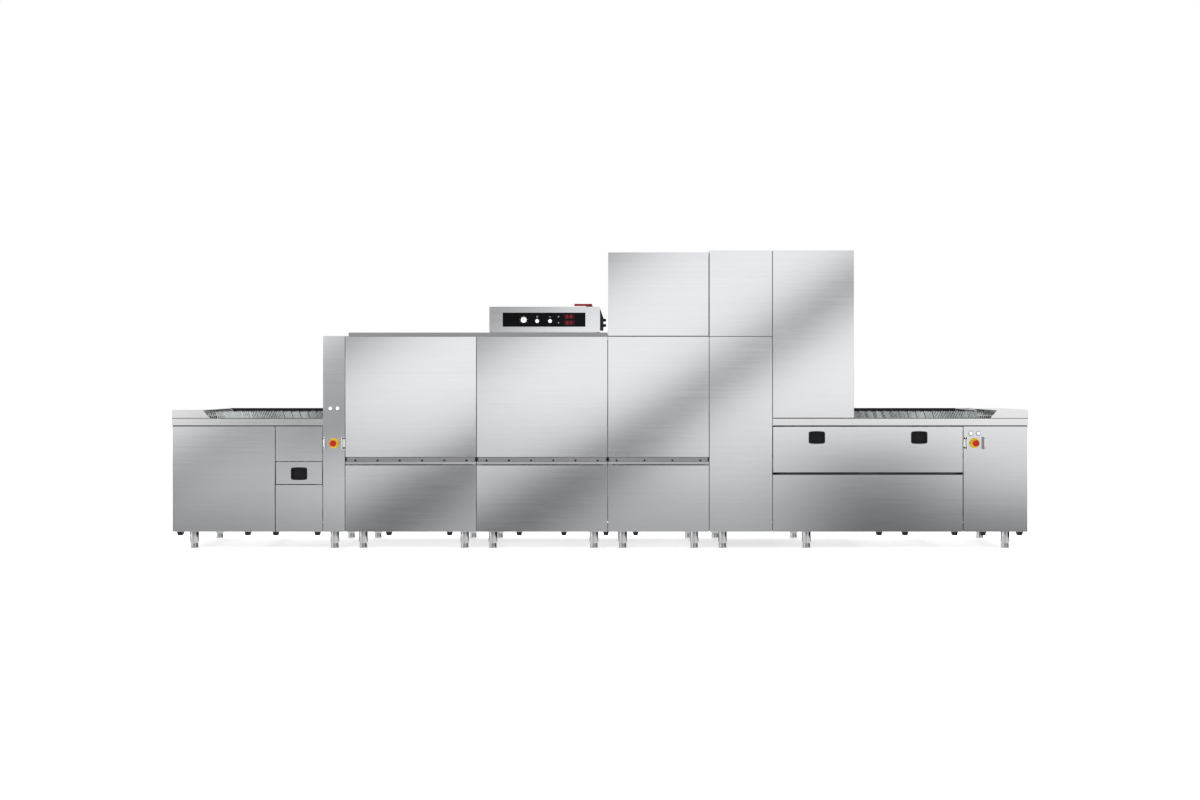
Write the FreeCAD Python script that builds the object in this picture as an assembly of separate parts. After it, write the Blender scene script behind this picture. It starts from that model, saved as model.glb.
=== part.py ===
import FreeCAD, Part
import math
import os

# Flight-type conveyor dishwasher.  Millimetres, +Z up, +X the way the belt
# travels, -Y the operator's side.  The origin is on the floor under the centre.

# ---- driving dimensions -------------------------------------------------
LENGTH = 5736.0
DEPTH = 900.0
PROUD = 59.0            # how far the stop buttons and the rear stubs stand out
SHEET = 3.0             # folded stainless sheet
GAP = 2.0               # each panel stops this short of its module's edge
PANEL = 25.0            # depth of a folded panel
DOOR = 30.0             # depth of a lift door
SET_BACK = 34.0         # roof, control box and rinse casing behind the front face

# Where each module starts, along X.
X_LEFT = -LENGTH / 2
X_DRAWER = -2177.0
X_ENTRY = -1858.0
X_WASH1 = -1708.0
X_WASH2 = -828.0
X_RINSE = 52.0
X_DRYER = 732.0
X_UNLOAD = 1156.0
X_HOOD_END = 1702.0
X_END = 2432.0
X_RIGHT = LENGTH / 2

# Heights.
Z_PANEL = 116.0         # underside of the front panels
Z_PANEL_TOP = 561.0
Z_SILL = 568.0
Z_SILL_STEP = 588.0
Z_DOOR = 617.0
Z_ROOF = 1426.0
Z_ROOF_TOP = 1453.0
Z_BOX_TOP = 1627.0
Z_CASING_TOP = 1992.0
Z_TOP = 2002.0
Z_SKIRT_TOP = 822.0     # top of the table panels
Z_RIM = 829.0
Z_RIM_TOP = 876.0
Z_HOOD = 880.0
Z_GUARD_TOP = 934.0
Z_MOUTH = 1300.0        # head of the dish tunnel

# Belt.
PITCH = 58.0
PITCHES = 91
SPROCKET_TEETH = 10
Z_CHAIN = 806.0         # chain pin of the upper strand
BELT_HALF = 284.0
FINGERS = 10
FINGER_HEIGHT = 110.0
FINGER_WIDTH = 10.0
FINGER_LEAN = 18.0
COMB_THICK = 6.0
LINK_LENGTH = 50.0
LINK_THICK = 12.0
LINK_HEIGHT = 20.0
LOADING_ROWS = 14

# Derived places.
FRONT = -DEPTH / 2
REAR = DEPTH / 2
PITCH_RADIUS = SPROCKET_TEETH * PITCH / (2 * math.pi)
SHAFT_X = PITCH * PITCHES / 2
SHAFT_Z = Z_CHAIN - PITCH_RADIUS
Z_RETURN = SHAFT_Z - PITCH_RADIUS
RAIL_Y = 375.0          # base rails and feet, each side of the centre
RAIL_HALF = 25.0
RAIL_LOW = 120.0
RAIL_TOP = 170.0
POST_FRONT = -418.0     # front face of the front posts
POST_DEEP = 30.0
POST_WIDE = 28.0
REAR_POST = 390.0
BACK_FACE = FRONT + SET_BACK
BOX_FRONT = FRONT + 50.0
MOUTH_HALF = 320.0      # half width of the tunnel mouth

STRAP_X = tuple(500.0 * (i - 4.5) for i in range(10))
FOOT_X = (-2735, -1788, -1596, -912, -722, -41, 153, 635, 826, 1392, 2732)
DOOR_MODULES = ((X_WASH1, X_WASH2), (X_WASH2, X_RINSE), (X_RINSE, X_DRYER))


# ---- helpers --------------------------------------------------------------
def vec(x, y, z):
    return FreeCAD.Vector(x, y, z)


def block(x0, x1, y0, y1, z0, z1):
    """A box between two corners."""
    return Part.makeBox(x1 - x0, y1 - y0, z1 - z0, vec(x0, y0, z0))


def rod(radius, start, end):
    """A round bar from one point to another."""
    a, b = vec(*start), vec(*end)
    return Part.makeCylinder(radius, (b - a).Length, a, b - a)


def cone(r0, r1, start, end):
    a, b = vec(*start), vec(*end)
    return Part.makeCone(r0, r1, (b - a).Length, a, b - a)


def prism_x(points, x0, x1):
    """An outline in Y and Z, drawn out along X."""
    wire = Part.makePolygon([vec(x0, y, z) for y, z in points + points[:1]])
    return Part.Face(wire).extrude(vec(x1 - x0, 0, 0))


def prism_y(points, y0, y1):
    """An outline in X and Z, drawn out along Y."""
    wire = Part.makePolygon([vec(x, y0, z) for x, z in points + points[:1]])
    return Part.Face(wire).extrude(vec(0, y1 - y0, 0))


def pan(x0, x1, z0, z1, front=FRONT, deep=PANEL):
    """A folded front panel: a face sheet with four returned edges, open behind."""
    outer = block(x0, x1, front, front + deep, z0, z1)
    inner = block(x0 + SHEET, x1 - SHEET, front + SHEET, front + deep,
                  z0 + SHEET, z1 - SHEET)
    return outer.cut(inner)


def module_pan(x0, x1, z0, z1, deep=PANEL):
    """A panel that fills a module's width but for the joint at each side."""
    return pan(x0 + GAP, x1 - GAP, z0, z1, deep=deep)


def folded(points, thick, x0, x1):
    """A sheet folded along an open line in Y and Z, drawn out along X."""
    def normal(a, b):
        dy, dz = b[0] - a[0], b[1] - a[1]
        size = math.hypot(dy, dz)
        return -dz / size, dy / size

    inside = []
    for i, (y, z) in enumerate(points):
        sides = []
        if i > 0:
            sides.append(normal(points[i - 1], points[i]))
        if i < len(points) - 1:
            sides.append(normal(points[i], points[i + 1]))
        ny = sum(s[0] for s in sides)
        nz = sum(s[1] for s in sides)
        reach = thick * len(sides) / (ny * ny + nz * nz)
        inside.append((y + ny * reach, z + nz * reach))
    return prism_x(points + inside[::-1], x0, x1)


def mirror_y(shape):
    return shape.mirror(vec(0, 0, 0), vec(0, 1, 0))


def save(name, *shapes):
    """Write one sub-part; loose solids of a group go in one compound."""
    solids = [s for shape in shapes for s in shape.Solids]
    whole = solids[0] if len(solids) == 1 else Part.makeCompound(solids)
    whole.exportStep("parts/" + name + ".step")


# ---- base, feet and posts -------------------------------------------------
def base_frame():
    """Two long box rails, cross members between them, lifting lugs below."""
    solids = []
    for side in (-1, 1):
        y = side * RAIL_Y
        solids.append(block(X_LEFT + 6, X_RIGHT - 6, y - RAIL_HALF, y + RAIL_HALF,
                            RAIL_LOW, RAIL_TOP))
    member_half = 20.0
    inner = RAIL_Y - RAIL_HALF
    for x in (-SHAFT_X, *STRAP_X, SHAFT_X):
        solids.append(block(x - member_half, x + member_half, -inner, inner,
                            RAIL_LOW, RAIL_TOP))
    lug_low = 88.0
    for x in (-2828, -2373, -2185, -1904, -1422, -1013, -544, -243, 40, 240,
              1881, 2056, 2390, 2580, 2828):
        outline = [(x - 22, RAIL_LOW), (x - 14, lug_low), (x + 14, lug_low), (x + 22, RAIL_LOW)]
        solids.append(prism_y(outline, -RAIL_Y - RAIL_HALF, -RAIL_Y + RAIL_HALF))
    runner_low, runner_high = 440.0, 455.0
    for x0, x1 in ((X_DRAWER, X_DRAWER + 14), (X_ENTRY - 12, X_ENTRY)):
        solids.append(block(x0, x1, POST_FRONT + POST_DEEP, -60, runner_low, runner_high))
    save("base_frame", *solids)


def feet(name, y):
    """Tapered tubular legs with a screwed levelling foot in each."""
    solids = []
    foot_top, collar = 34.0, 40.0
    for x in FOOT_X:
        solids.append(cone(28.5, 30.0, (x, y, collar), (x, y, RAIL_LOW)))
        foot = rod(25.0, (x, y, 0), (x, y, foot_top))
        solids.append(foot.fuse(rod(12.0, (x, y, foot_top), (x, y, collar))))
    save(name, *solids)


def frame_posts():
    """Slotted front posts that guide the lift doors, plain posts elsewhere."""
    solids = []
    slot_wide, slot_deep = 14.0, 22.0
    for x0, x1 in DOOR_MODULES:
        for centre in (x0 + GAP + POST_WIDE / 2, x1 - GAP - POST_WIDE / 2):
            post = block(centre - POST_WIDE / 2, centre + POST_WIDE / 2,
                         POST_FRONT, POST_FRONT + POST_DEEP, RAIL_TOP, Z_ROOF)
            slot = block(centre - slot_wide / 2, centre + slot_wide / 2,
                         POST_FRONT, POST_FRONT + slot_deep, Z_DOOR, Z_ROOF)
            solids.append(post.cut(slot))
    plain = ((X_LEFT + 6, Z_RIM), (X_DRAWER - POST_WIDE, Z_RIM), (X_UNLOAD - 30, Z_ROOF),
             (X_RIGHT - 6 - POST_WIDE, Z_RIM))
    for x, top in plain:
        solids.append(block(x, x + POST_WIDE, POST_FRONT, POST_FRONT + POST_DEEP,
                            RAIL_TOP, top))
    for x, top in ((X_LEFT + 6, Z_RIM), (X_WASH1, Z_ROOF), (X_WASH2, Z_ROOF), (X_RINSE, Z_ROOF),
                   (X_DRYER, Z_ROOF), (X_RIGHT - 6 - POST_WIDE, Z_RIM)):
        solids.append(block(x, x + POST_WIDE, REAR_POST, REAR_POST + 40, RAIL_TOP, top))
    save("frame_posts", *solids)


# ---- outer skin -------------------------------------------------------------
def rear_panels():
    """Flat sheets screwed to the back, lower behind the two tables."""
    spans = ((X_LEFT, X_ENTRY, Z_SKIRT_TOP), (X_ENTRY, X_WASH2, Z_ROOF),
             (X_WASH2, X_RINSE, Z_ROOF), (X_RINSE, X_DRYER, Z_ROOF),
             (X_DRYER, X_UNLOAD, Z_ROOF), (X_UNLOAD, X_RIGHT, Z_SKIRT_TOP))
    save("rear_panels", *[block(x0 + GAP, x1 - GAP, REAR - SHEET, REAR, Z_PANEL, top)
                          for x0, x1, top in spans])


def roof_panels():
    """Shallow pans over the two wash zones, their front edges set back."""
    solids = []
    for x0, x1 in ((X_WASH1 + 18, X_WASH2), (X_WASH2, X_RINSE)):
        outer = block(x0, x1, BACK_FACE, REAR, Z_ROOF, Z_ROOF_TOP)
        inner = block(x0 + SHEET, x1 - SHEET, BACK_FACE + SHEET, REAR - SHEET,
                      Z_ROOF, Z_ROOF_TOP - SHEET)
        solids.append(outer.cut(inner))
    save("roof_panels", *solids)


def machine_front_panels():
    """Lower panels of the wash and rinse zones, both panels of the dryer."""
    solids = [module_pan(x0, x1, Z_PANEL, Z_PANEL_TOP) for x0, x1 in DOOR_MODULES]
    solids.append(module_pan(X_DRYER, X_UNLOAD, Z_PANEL, Z_ROOF - GAP))
    solids.append(module_pan(X_DRYER, X_UNLOAD, Z_ROOF, Z_TOP))
    save("machine_front_panels", *solids)


def loading_panels():
    """The wide panel, and the two panels above and below the drawer."""
    solids = [module_pan(X_LEFT, X_DRAWER, Z_PANEL, Z_SKIRT_TOP)]
    for z0, z1 in ((Z_PANEL, 430), (590, Z_SKIRT_TOP)):
        solids.append(module_pan(X_DRAWER + GAP, X_ENTRY, z0, z1))
    save("loading_panels", *solids)


def unloading_panels():
    """The panel under the flap, and the end panel with the holes for its buttons."""
    end = module_pan(X_END + GAP, X_RIGHT, Z_PANEL, Z_SKIRT_TOP)
    for x, z, radius in EXIT_HOLES:
        end = end.cut(rod(radius, (x, FRONT - 1, z), (x, FRONT + SHEET + 1, z)))
    save("unloading_panels", module_pan(X_UNLOAD, X_END, Z_PANEL, 498), end)


def door_sills():
    """Stepped sills that the lift doors close onto."""
    step = 8.0
    outline = [(FRONT, Z_SILL), (FRONT, Z_SILL_STEP), (FRONT + step, Z_SILL_STEP),
               (FRONT + step, Z_DOOR - GAP), (FRONT + PANEL, Z_DOOR - GAP),
               (FRONT + PANEL, Z_SILL)]
    save("door_sills", *[prism_x(outline, x0 + GAP, x1 - GAP) for x0, x1 in DOOR_MODULES])
    heads = []
    for (x0, x1), count in zip(DOOR_MODULES, (6, 6, 4)):
        spacing = 149.0 if count == 6 else 187.0
        first = (x0 + x1) / 2 - spacing * (count - 1) / 2
        for i in range(count):
            x = first + i * spacing
            heads.append(rod(4.5, (x, FRONT + step, 594), (x, FRONT + step - 3, 594)))
    save("sill_screws", *heads)


def entry_column():
    """The panel with the first buttons, and the wall round the tunnel's mouth."""
    front = pan(X_ENTRY + GAP, X_WASH1 - GAP, Z_PANEL, Z_ROOF + SHEET)
    for x, z, radius in ENTRY_HOLES:
        front = front.cut(rod(radius, (x, FRONT - 1, z), (x, FRONT + SHEET + 1, z)))
    wall = (X_ENTRY, X_ENTRY + SHEET)
    inner = FRONT + PANEL
    solids = [front,
              block(*wall, inner, -MOUTH_HALF, Z_HOOD, Z_MOUTH),
              block(*wall, MOUTH_HALF, REAR - SHEET, Z_GUARD_TOP + GAP, Z_MOUTH),
              block(*wall, inner, REAR - SHEET, Z_MOUTH, Z_ROOF),
              block(X_ENTRY, X_WASH1 + 18, BACK_FACE, REAR - SHEET, Z_ROOF, Z_ROOF + SHEET)]
    save("entry_column", *solids)


def hood():
    """The exhaust hood over the first part of the unloading table."""
    x0, x1 = X_UNLOAD + GAP, X_HOOD_END
    inner = x1 - SHEET
    solids = [block(x0, x1, FRONT, FRONT + SHEET, Z_HOOD, Z_TOP),
              block(x0, x1, REAR - SHEET, REAR, Z_HOOD, Z_TOP),
              block(x0, x1, FRONT + SHEET, REAR - SHEET, Z_TOP - SHEET, Z_TOP),
              block(inner, x1, FRONT + SHEET, REAR - SHEET, Z_MOUTH, Z_TOP - SHEET),
              block(inner, x1, FRONT + SHEET, -MOUTH_HALF, Z_HOOD, Z_MOUTH),
              block(inner, x1, MOUTH_HALF, REAR - SHEET, Z_HOOD, Z_MOUTH)]
    save("hood", *solids)


def rinse_casing():
    """The tall casing of the heat recovery unit, open below."""
    outer = block(X_RINSE + GAP, X_DRYER - GAP, BACK_FACE, REAR, Z_ROOF + 4, Z_CASING_TOP)
    inner = block(X_RINSE + GAP + SHEET, X_DRYER - GAP - SHEET, BACK_FACE + SHEET,
                  REAR - SHEET, Z_ROOF + 4, Z_CASING_TOP - SHEET)
    save("rinse_casing", outer.cut(inner))


def dryer_casing():
    """Side, back and top sheets of the dryer, with the spigot for the exhaust duct."""
    inner = FRONT + PANEL
    spigot_x, spigot_z, spigot_r = (X_DRYER + X_UNLOAD) / 2, 1850.0, 100.0
    back = block(X_DRYER, X_UNLOAD, REAR - SHEET, REAR, Z_ROOF + 4, Z_TOP)
    back = back.cut(rod(spigot_r - SHEET, (spigot_x, REAR - SHEET, spigot_z),
                        (spigot_x, REAR, spigot_z)))
    spigot = rod(spigot_r, (spigot_x, REAR, spigot_z), (spigot_x, REAR + 50, spigot_z))
    spigot = spigot.cut(rod(spigot_r - SHEET, (spigot_x, REAR, spigot_z),
                            (spigot_x, REAR + 50, spigot_z)))
    solids = [block(X_DRYER, X_DRYER + SHEET, inner, REAR - SHEET, Z_ROOF + 4, Z_TOP - SHEET),
              block(X_DRYER, X_UNLOAD, inner, REAR - SHEET, Z_TOP - SHEET, Z_TOP),
              back, spigot]
    save("dryer_casing", *solids)


# ---- loading and unloading tables --------------------------------------------
def rim(x0, x1):
    """Front rim: a rolled edge with an apron that slopes down to the belt."""
    line = [(FRONT + 30, Z_RIM), (FRONT, Z_RIM), (FRONT, Z_RIM_TOP), (FRONT + 38, Z_RIM_TOP),
            (-310, 792), (-310, 770)]
    return folded(line[::-1], SHEET, x0, x1)


def rear_guard(x0, x1, top):
    """Rear rim: as the front one, but its outer wall stands higher."""
    line = [(REAR - 30, Z_RIM), (REAR, Z_RIM), (REAR, top), (REAR - 26, top),
            (REAR - 38, Z_RIM_TOP), (310, 792), (310, 770)]
    return folded(line, SHEET, x0, x1)


def table_rims():
    save("table_rims", rim(X_LEFT, X_ENTRY), rim(X_UNLOAD + GAP, X_RIGHT),
         rear_guard(X_LEFT, X_ENTRY, Z_GUARD_TOP),
         rear_guard(X_UNLOAD + GAP, X_HOOD_END, Z_RIM_TOP + GAP),
         rear_guard(X_HOOD_END, X_RIGHT, Z_GUARD_TOP))


COVER_REAR = REAR - 42


def end_cover():
    """Right-hand cover over the belt's turn: top sheet, two cheeks and an end."""
    outline = [(2615, Z_RIM_TOP), (2664, Z_GUARD_TOP), (X_RIGHT, Z_GUARD_TOP),
               (X_RIGHT, Z_RIM_TOP)]
    body = prism_y(outline, FRONT, COVER_REAR)
    inner = [(2600, Z_RIM_TOP - 1), (2600, Z_GUARD_TOP - SHEET),
             (X_RIGHT - SHEET, Z_GUARD_TOP - SHEET), (X_RIGHT - SHEET, Z_RIM_TOP - 1)]
    return body.cut(prism_y(inner, FRONT + SHEET, COVER_REAR - SHEET))


def end_covers():
    right = end_cover()
    save("end_covers", right.mirror(vec(0, 0, 0), vec(1, 0, 0)), right)
    sides = []
    for x0, x1 in ((X_LEFT, X_LEFT + SHEET), (X_RIGHT - SHEET, X_RIGHT)):
        sides.append(block(x0, x1, FRONT + PANEL, REAR - SHEET, Z_PANEL, 768))
    save("end_panels", *sides)


# ---- inside: tanks, pumps, spray pipes, curtains -----------------------------
TANK_FRONT, TANK_REAR, TANK_TOP = -300.0, 120.0, 490.0
SPRAY_OFFSETS = ((180, 420, 660), (180, 420, 660), (120, 420))


def tank(x0, x1):
    """An open-topped tank welded from a floor and four walls."""
    x0, x1 = x0 + 40, x1 - 40
    floor = RAIL_TOP + SHEET
    return [block(x0, x1, TANK_FRONT, TANK_REAR, RAIL_TOP, floor),
            block(x0, x0 + SHEET, TANK_FRONT, TANK_REAR, floor, TANK_TOP),
            block(x1 - SHEET, x1, TANK_FRONT, TANK_REAR, floor, TANK_TOP),
            block(x0 + SHEET, x1 - SHEET, TANK_FRONT, TANK_FRONT + SHEET, floor, TANK_TOP),
            block(x0 + SHEET, x1 - SHEET, TANK_REAR - SHEET, TANK_REAR, floor, TANK_TOP)]


def tanks():
    save("tanks", *[wall for x0, x1 in DOOR_MODULES for wall in tank(x0, x1)])


def pump(x):
    """A wash pump: volute, motor and discharge box."""
    y, z = 220.0, 290.0
    volute = rod(85, (x - 60, y, z), (x, y, z))
    motor = rod(65, (x - 260, y, z), (x - 60, y, z))
    foot = block(x - 230, x - 30, y - 50, y + 50, RAIL_TOP, z - 40)
    outlet = block(x - 45, x, y, 335, z + 10, z + 60)
    return volute.fuse([motor, foot, outlet])


def spray_set(x0, x1, offsets, radius):
    """Rear headers above and below the belt, a riser, and the arms across it."""
    header = (335.0, 385.0)
    riser_x = x1 - 100
    upper, lower, half = 1350.0, 715.0, 25.0
    solids = [block(riser_x - half, riser_x + half, *header, 300, lower - half),
              block(riser_x - half, riser_x + half, *header, lower + half, upper - half)]
    for z in (lower, upper):
        solids.append(block(x0 + 60, riser_x + half, *header, z - half, z + half))
        for offset in offsets:
            solids.append(rod(radius, (x0 + offset, header[0], z), (x0 + offset, -270, z)))
    return solids


def spray_arms():
    solids = []
    for (x0, x1), offsets, radius in zip(DOOR_MODULES, SPRAY_OFFSETS, (16, 16, 10)):
        solids += spray_set(x0, x1, offsets, radius)
    save("spray_arms", *solids)
    save("pumps", *[pump(x1 - 75) for x0, x1 in DOOR_MODULES])


def curtains():
    """Rows of rubber strips on rods, one row at each end of every zone."""
    strips, wide, low, high = 10, 62.0, 925.0, 1310.0
    pitch = 2 * MOUTH_HALF / strips
    solids = []
    for x in (X_WASH1 + 16, X_WASH2 + 16, X_RINSE + 16, X_DRYER + 16, 1545.0):
        reach = FRONT + SHEET if x > X_UNLOAD else POST_FRONT + POST_DEEP
        rear = REAR - SHEET if x > X_UNLOAD else REAR_POST
        solids.append(block(x - 6, x + 6, reach, rear, high, high + 12))
        for i in range(strips):
            y = -MOUTH_HALF + (i + 0.5) * pitch
            solids.append(block(x - 1.5, x + 1.5, y - wide / 2, y + wide / 2, low, high))
    save("curtains", *solids)


# ---- conveyor ----------------------------------------------------------------
def belt_row():
    """One row at the chain pin: a comb of leaning fingers and its two links."""
    reach = FINGER_HEIGHT / math.cos(math.radians(FINGER_LEAN))
    pitch = 2 * BELT_HALF / FINGERS
    points = [(-BELT_HALF, -5), (BELT_HALF, -5), (BELT_HALF, 5)]
    for i in range(FINGERS):
        y = BELT_HALF - (i + 0.5) * pitch
        half = FINGER_WIDTH / 2
        points += [(y + half, 5), (y + half, reach), (y - half, reach), (y - half, 5)]
    points.append((-BELT_HALF, 5))
    comb = prism_x(points, -COMB_THICK / 2, COMB_THICK / 2)
    comb.rotate(vec(0, 0, 0), vec(0, 1, 0), -FINGER_LEAN)
    solids = [comb]
    for y0, y1 in ((-BELT_HALF - LINK_THICK, -BELT_HALF), (BELT_HALF, BELT_HALF + LINK_THICK)):
        solids.append(block(-LINK_LENGTH / 2, LINK_LENGTH / 2, y0, y1,
                            -LINK_HEIGHT / 2, LINK_HEIGHT / 2))
    return Part.makeCompound(solids)


def placed_row(x, z, turn):
    row = belt_row()
    row.rotate(vec(0, 0, 0), vec(0, 1, 0), turn)
    row.translate(vec(x, 0, z))
    return row


def belt():
    """Upper and return strands, and the rows that are on the sprockets."""
    def upper(first, last):
        return [placed_row(-SHAFT_X + PITCH * i, Z_CHAIN, 0) for i in range(first, last)]

    rows = PITCHES + 1
    save("belt_rows_loading", *upper(0, LOADING_ROWS))
    save("belt_rows_tunnel", *upper(LOADING_ROWS, rows - LOADING_ROWS))
    save("belt_rows_unloading", *upper(rows - LOADING_ROWS, rows))
    save("belt_rows_return", *[placed_row(-SHAFT_X + PITCH * i, Z_RETURN, 180)
                               for i in range(rows)])
    step = 360.0 / SPROCKET_TEETH
    for name, side in (("belt_turn_infeed", -1), ("belt_turn_outfeed", 1)):
        wrap = []
        for i in range(1, SPROCKET_TEETH // 2):
            turn = side * step * i
            angle = math.radians(turn)
            wrap.append(placed_row(side * SHAFT_X + PITCH_RADIUS * math.sin(angle),
                                   SHAFT_Z + PITCH_RADIUS * math.cos(angle), turn))
        save(name, *wrap)


SHAFT_R = 17.5
SPROCKET_Y = 270.0


def shaft(x, rear_end):
    """A shaft with a toothed wheel near each edge of the belt."""
    solid = rod(SHAFT_R, (x, -330, SHAFT_Z), (x, rear_end, SHAFT_Z))
    for y in (-SPROCKET_Y, SPROCKET_Y):
        solid = solid.fuse(rod(PITCH_RADIUS - 12, (x, y - 8, SHAFT_Z), (x, y + 8, SHAFT_Z)))
        for i in range(SPROCKET_TEETH):
            tooth = prism_y([(x - 9, SHAFT_Z + 60), (x - 6, SHAFT_Z + PITCH_RADIUS),
                             (x + 6, SHAFT_Z + PITCH_RADIUS), (x + 9, SHAFT_Z + 60)], y - 8, y + 8)
            tooth.rotate(vec(x, 0, SHAFT_Z), vec(0, 1, 0), (i + 0.5) * 360 / SPROCKET_TEETH)
            solid = solid.fuse(tooth)
    return solid


def drive():
    """Both shafts, their bearings and the gearmotor."""
    save("idler_shaft", shaft(-SHAFT_X, 330))
    save("drive_shaft", shaft(SHAFT_X, 400))
    bore = SHAFT_R + 0.05
    bearings = []
    for x in (-SHAFT_X, SHAFT_X):
        for y0, y1 in ((-330, -304), (304, 330)):
            housing = block(x - 40, x + 40, y0, y1, SHAFT_Z - 40, SHAFT_Z + 40)
            bearings.append(housing.cut(rod(bore, (x, y0 - 1, SHAFT_Z), (x, y1 + 1, SHAFT_Z))))
    save("shaft_bearings", *bearings)
    gearbox = block(SHAFT_X - 60, SHAFT_X + 60, 330, 430, SHAFT_Z - 75, SHAFT_Z + 35)
    gearbox = gearbox.cut(rod(bore, (SHAFT_X, 330, SHAFT_Z), (SHAFT_X, 402, SHAFT_Z)))
    motor = rod(48, (SHAFT_X, 380, SHAFT_Z - 75), (SHAFT_X, 380, SHAFT_Z - 300))
    save("gearmotor", gearbox.fuse(motor))


def guide_rails():
    """Rails under both strands, straps from the cross members, bearing pillars."""
    clear, deep = 0.5, 5.0
    inner, outer = BELT_HALF + 2, 309.5
    solids = []
    reach = SHAFT_X - 60
    for side in (-1, 1):
        y0, y1 = sorted((side * inner, side * 304.0))
        s0, s1 = sorted((side * 304.0, side * outer))
        for chain in (Z_CHAIN, Z_RETURN):
            top = chain - LINK_HEIGHT / 2 - clear
            solids.append(block(-reach, reach, y0, y1, top - deep, top))
        for x in STRAP_X:
            solids.append(block(x - 15, x + 15, s0, s1, RAIL_TOP,
                                Z_CHAIN - LINK_HEIGHT / 2 - clear))
        p0, p1 = sorted((side * 304.0, side * 330.0))
        for x in (-SHAFT_X, SHAFT_X):
            solids.append(block(x - 40, x + 40, p0, p1, RAIL_TOP, SHAFT_Z - 40))
    save("guide_rails", *solids)


# ---- lift doors, drawer and flap ------------------------------------------------
def door(x0, x1):
    """A lift door, with a runner behind each edge that slides in a post's slot."""
    solid = module_pan(x0, x1, Z_DOOR, Z_ROOF - GAP, deep=DOOR)
    for centre in (x0 + GAP + POST_WIDE / 2, x1 - GAP - POST_WIDE / 2):
        web = block(centre - 5, centre + 5, FRONT + SHEET, POST_FRONT + 18, 650, 900)
        solid = solid.fuse(web)
    return solid


def doors():
    for name, (x0, x1) in zip(("wash_door_1", "wash_door_2", "rinse_door"), DOOR_MODULES):
        save(name, door(x0, x1))


CUP_W, CUP_H, CUP_DEEP = 100.0, 76.0, 20.0


def rounded_plate(x, z, wide, high, radius, y0, y1):
    """A rounded rectangle centred at x and z, from y0 to y1."""
    plate = block(x - wide / 2, x + wide / 2, y0, y1, z - high / 2, z + high / 2)
    edges = [e for e in plate.Edges if abs(e.Vertexes[0].Y - e.Vertexes[1].Y) > 0.5 * (y1 - y0)]
    return plate.makeFillet(radius, edges)


def pull_cup(x, z):
    """A recessed pull: a flange on the face and a cup behind it."""
    flange = rounded_plate(x, z, CUP_W + 10, CUP_H + 10, 12, FRONT - 2, FRONT)
    cup = rounded_plate(x, z, CUP_W, CUP_H, 9, FRONT, FRONT + CUP_DEEP)
    hollow = rounded_plate(x, z, CUP_W - 6, CUP_H - 6, 7, FRONT - 2, FRONT + CUP_DEEP - 3)
    return flange.fuse(cup).cut(hollow)


def cup_hole(x, z):
    return rounded_plate(x, z, CUP_W, CUP_H, 9, FRONT - 1, FRONT + SHEET + 1)


def drawer():
    """The strainer drawer: a folded front with a tray behind it."""
    x0, x1, z0, z1 = X_DRAWER + 2 * GAP + 2, X_ENTRY - 2 * GAP, 436.0, 584.0
    cup_x, cup_z = (x0 + x1) / 2, 506.0
    front = pan(x0, x1, z0, z1).cut(cup_hole(cup_x, cup_z))
    t0, t1, y0, y1, low, high = x0 + 12, x1 - 12, FRONT + PANEL, -60.0, 440.0, 500.0
    tray = block(t0, t1, y0, y1, low, high)
    tray = tray.cut(block(t0 + SHEET, t1 - SHEET, y0 + SHEET, y1 - SHEET, low + SHEET, high))
    save("drawer", front, tray)
    save("drawer_pull", pull_cup(cup_x, cup_z))


FLAP_LOW, FLAP_HIGH = 515.0, 819.0
HINGE_Y, HINGE_Z = FRONT + 7.0, 507.0
HINGE_R = 4.0


def flap():
    """The drop-down flap, its knuckles, its two pulls and the fixed hinge."""
    x0, x1 = X_UNLOAD + 2 * GAP, X_END - GAP
    cups = ((1453.0, 748.0), (2139.0, 748.0))
    panel = pan(x0, x1, FLAP_LOW, FLAP_HIGH)
    for x, z in cups:
        panel = panel.cut(cup_hole(x, z))
    pin = rod(HINGE_R, (x0 + 30, HINGE_Y, HINGE_Z), (x1 - 30, HINGE_Y, HINGE_Z))
    fixed = pin
    for centre in (x0 + 120, (x0 + x1) / 2, x1 - 120):
        barrel = rod(7, (centre - 30, HINGE_Y, HINGE_Z), (centre + 30, HINGE_Y, HINGE_Z))
        leaf = block(centre - 30, centre + 30, HINGE_Y - 3, HINGE_Y + 3, HINGE_Z, FLAP_LOW + 1)
        bore = rod(HINGE_R + 0.05, (centre - 31, HINGE_Y, HINGE_Z), (centre + 31, HINGE_Y, HINGE_Z))
        panel = panel.fuse(barrel.fuse(leaf).cut(bore))
        for side in (-1, 1):
            a, b = sorted((centre + side * 31, centre + side * 61))
            knuckle = rod(7, (a, HINGE_Y, HINGE_Z), (b, HINGE_Y, HINGE_Z))
            foot = block(a, b, HINGE_Y - 3, HINGE_Y + 3, 498, HINGE_Z)
            fixed = fixed.fuse([knuckle, foot])
    save("flap", panel)
    save("flap_hinge", fixed)
    save("flap_pulls", *[pull_cup(x, z) for x, z in cups])


# ---- buttons and stops ------------------------------------------------------------
BUTTON_R, STEM_R, STOP_R = 12.5, 11.0, 21.5
ENTRY_BUTTONS = ((-1806.0, 943.0), (-1758.0, 943.0))
EXIT_BUTTONS = ((2485.0, 776.0), (2535.0, 776.0))
ENTRY_STOP = (-1782.0, 710.0)
EXIT_STOP = (2509.0, 711.0)
CLEAR = 0.4
ENTRY_HOLES = [(x, z, BUTTON_R + CLEAR) for x, z in ENTRY_BUTTONS] + [(*ENTRY_STOP, STEM_R + CLEAR)]
EXIT_HOLES = [(x, z, BUTTON_R + CLEAR) for x, z in EXIT_BUTTONS] + [(*EXIT_STOP, STEM_R + CLEAR)]


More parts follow.
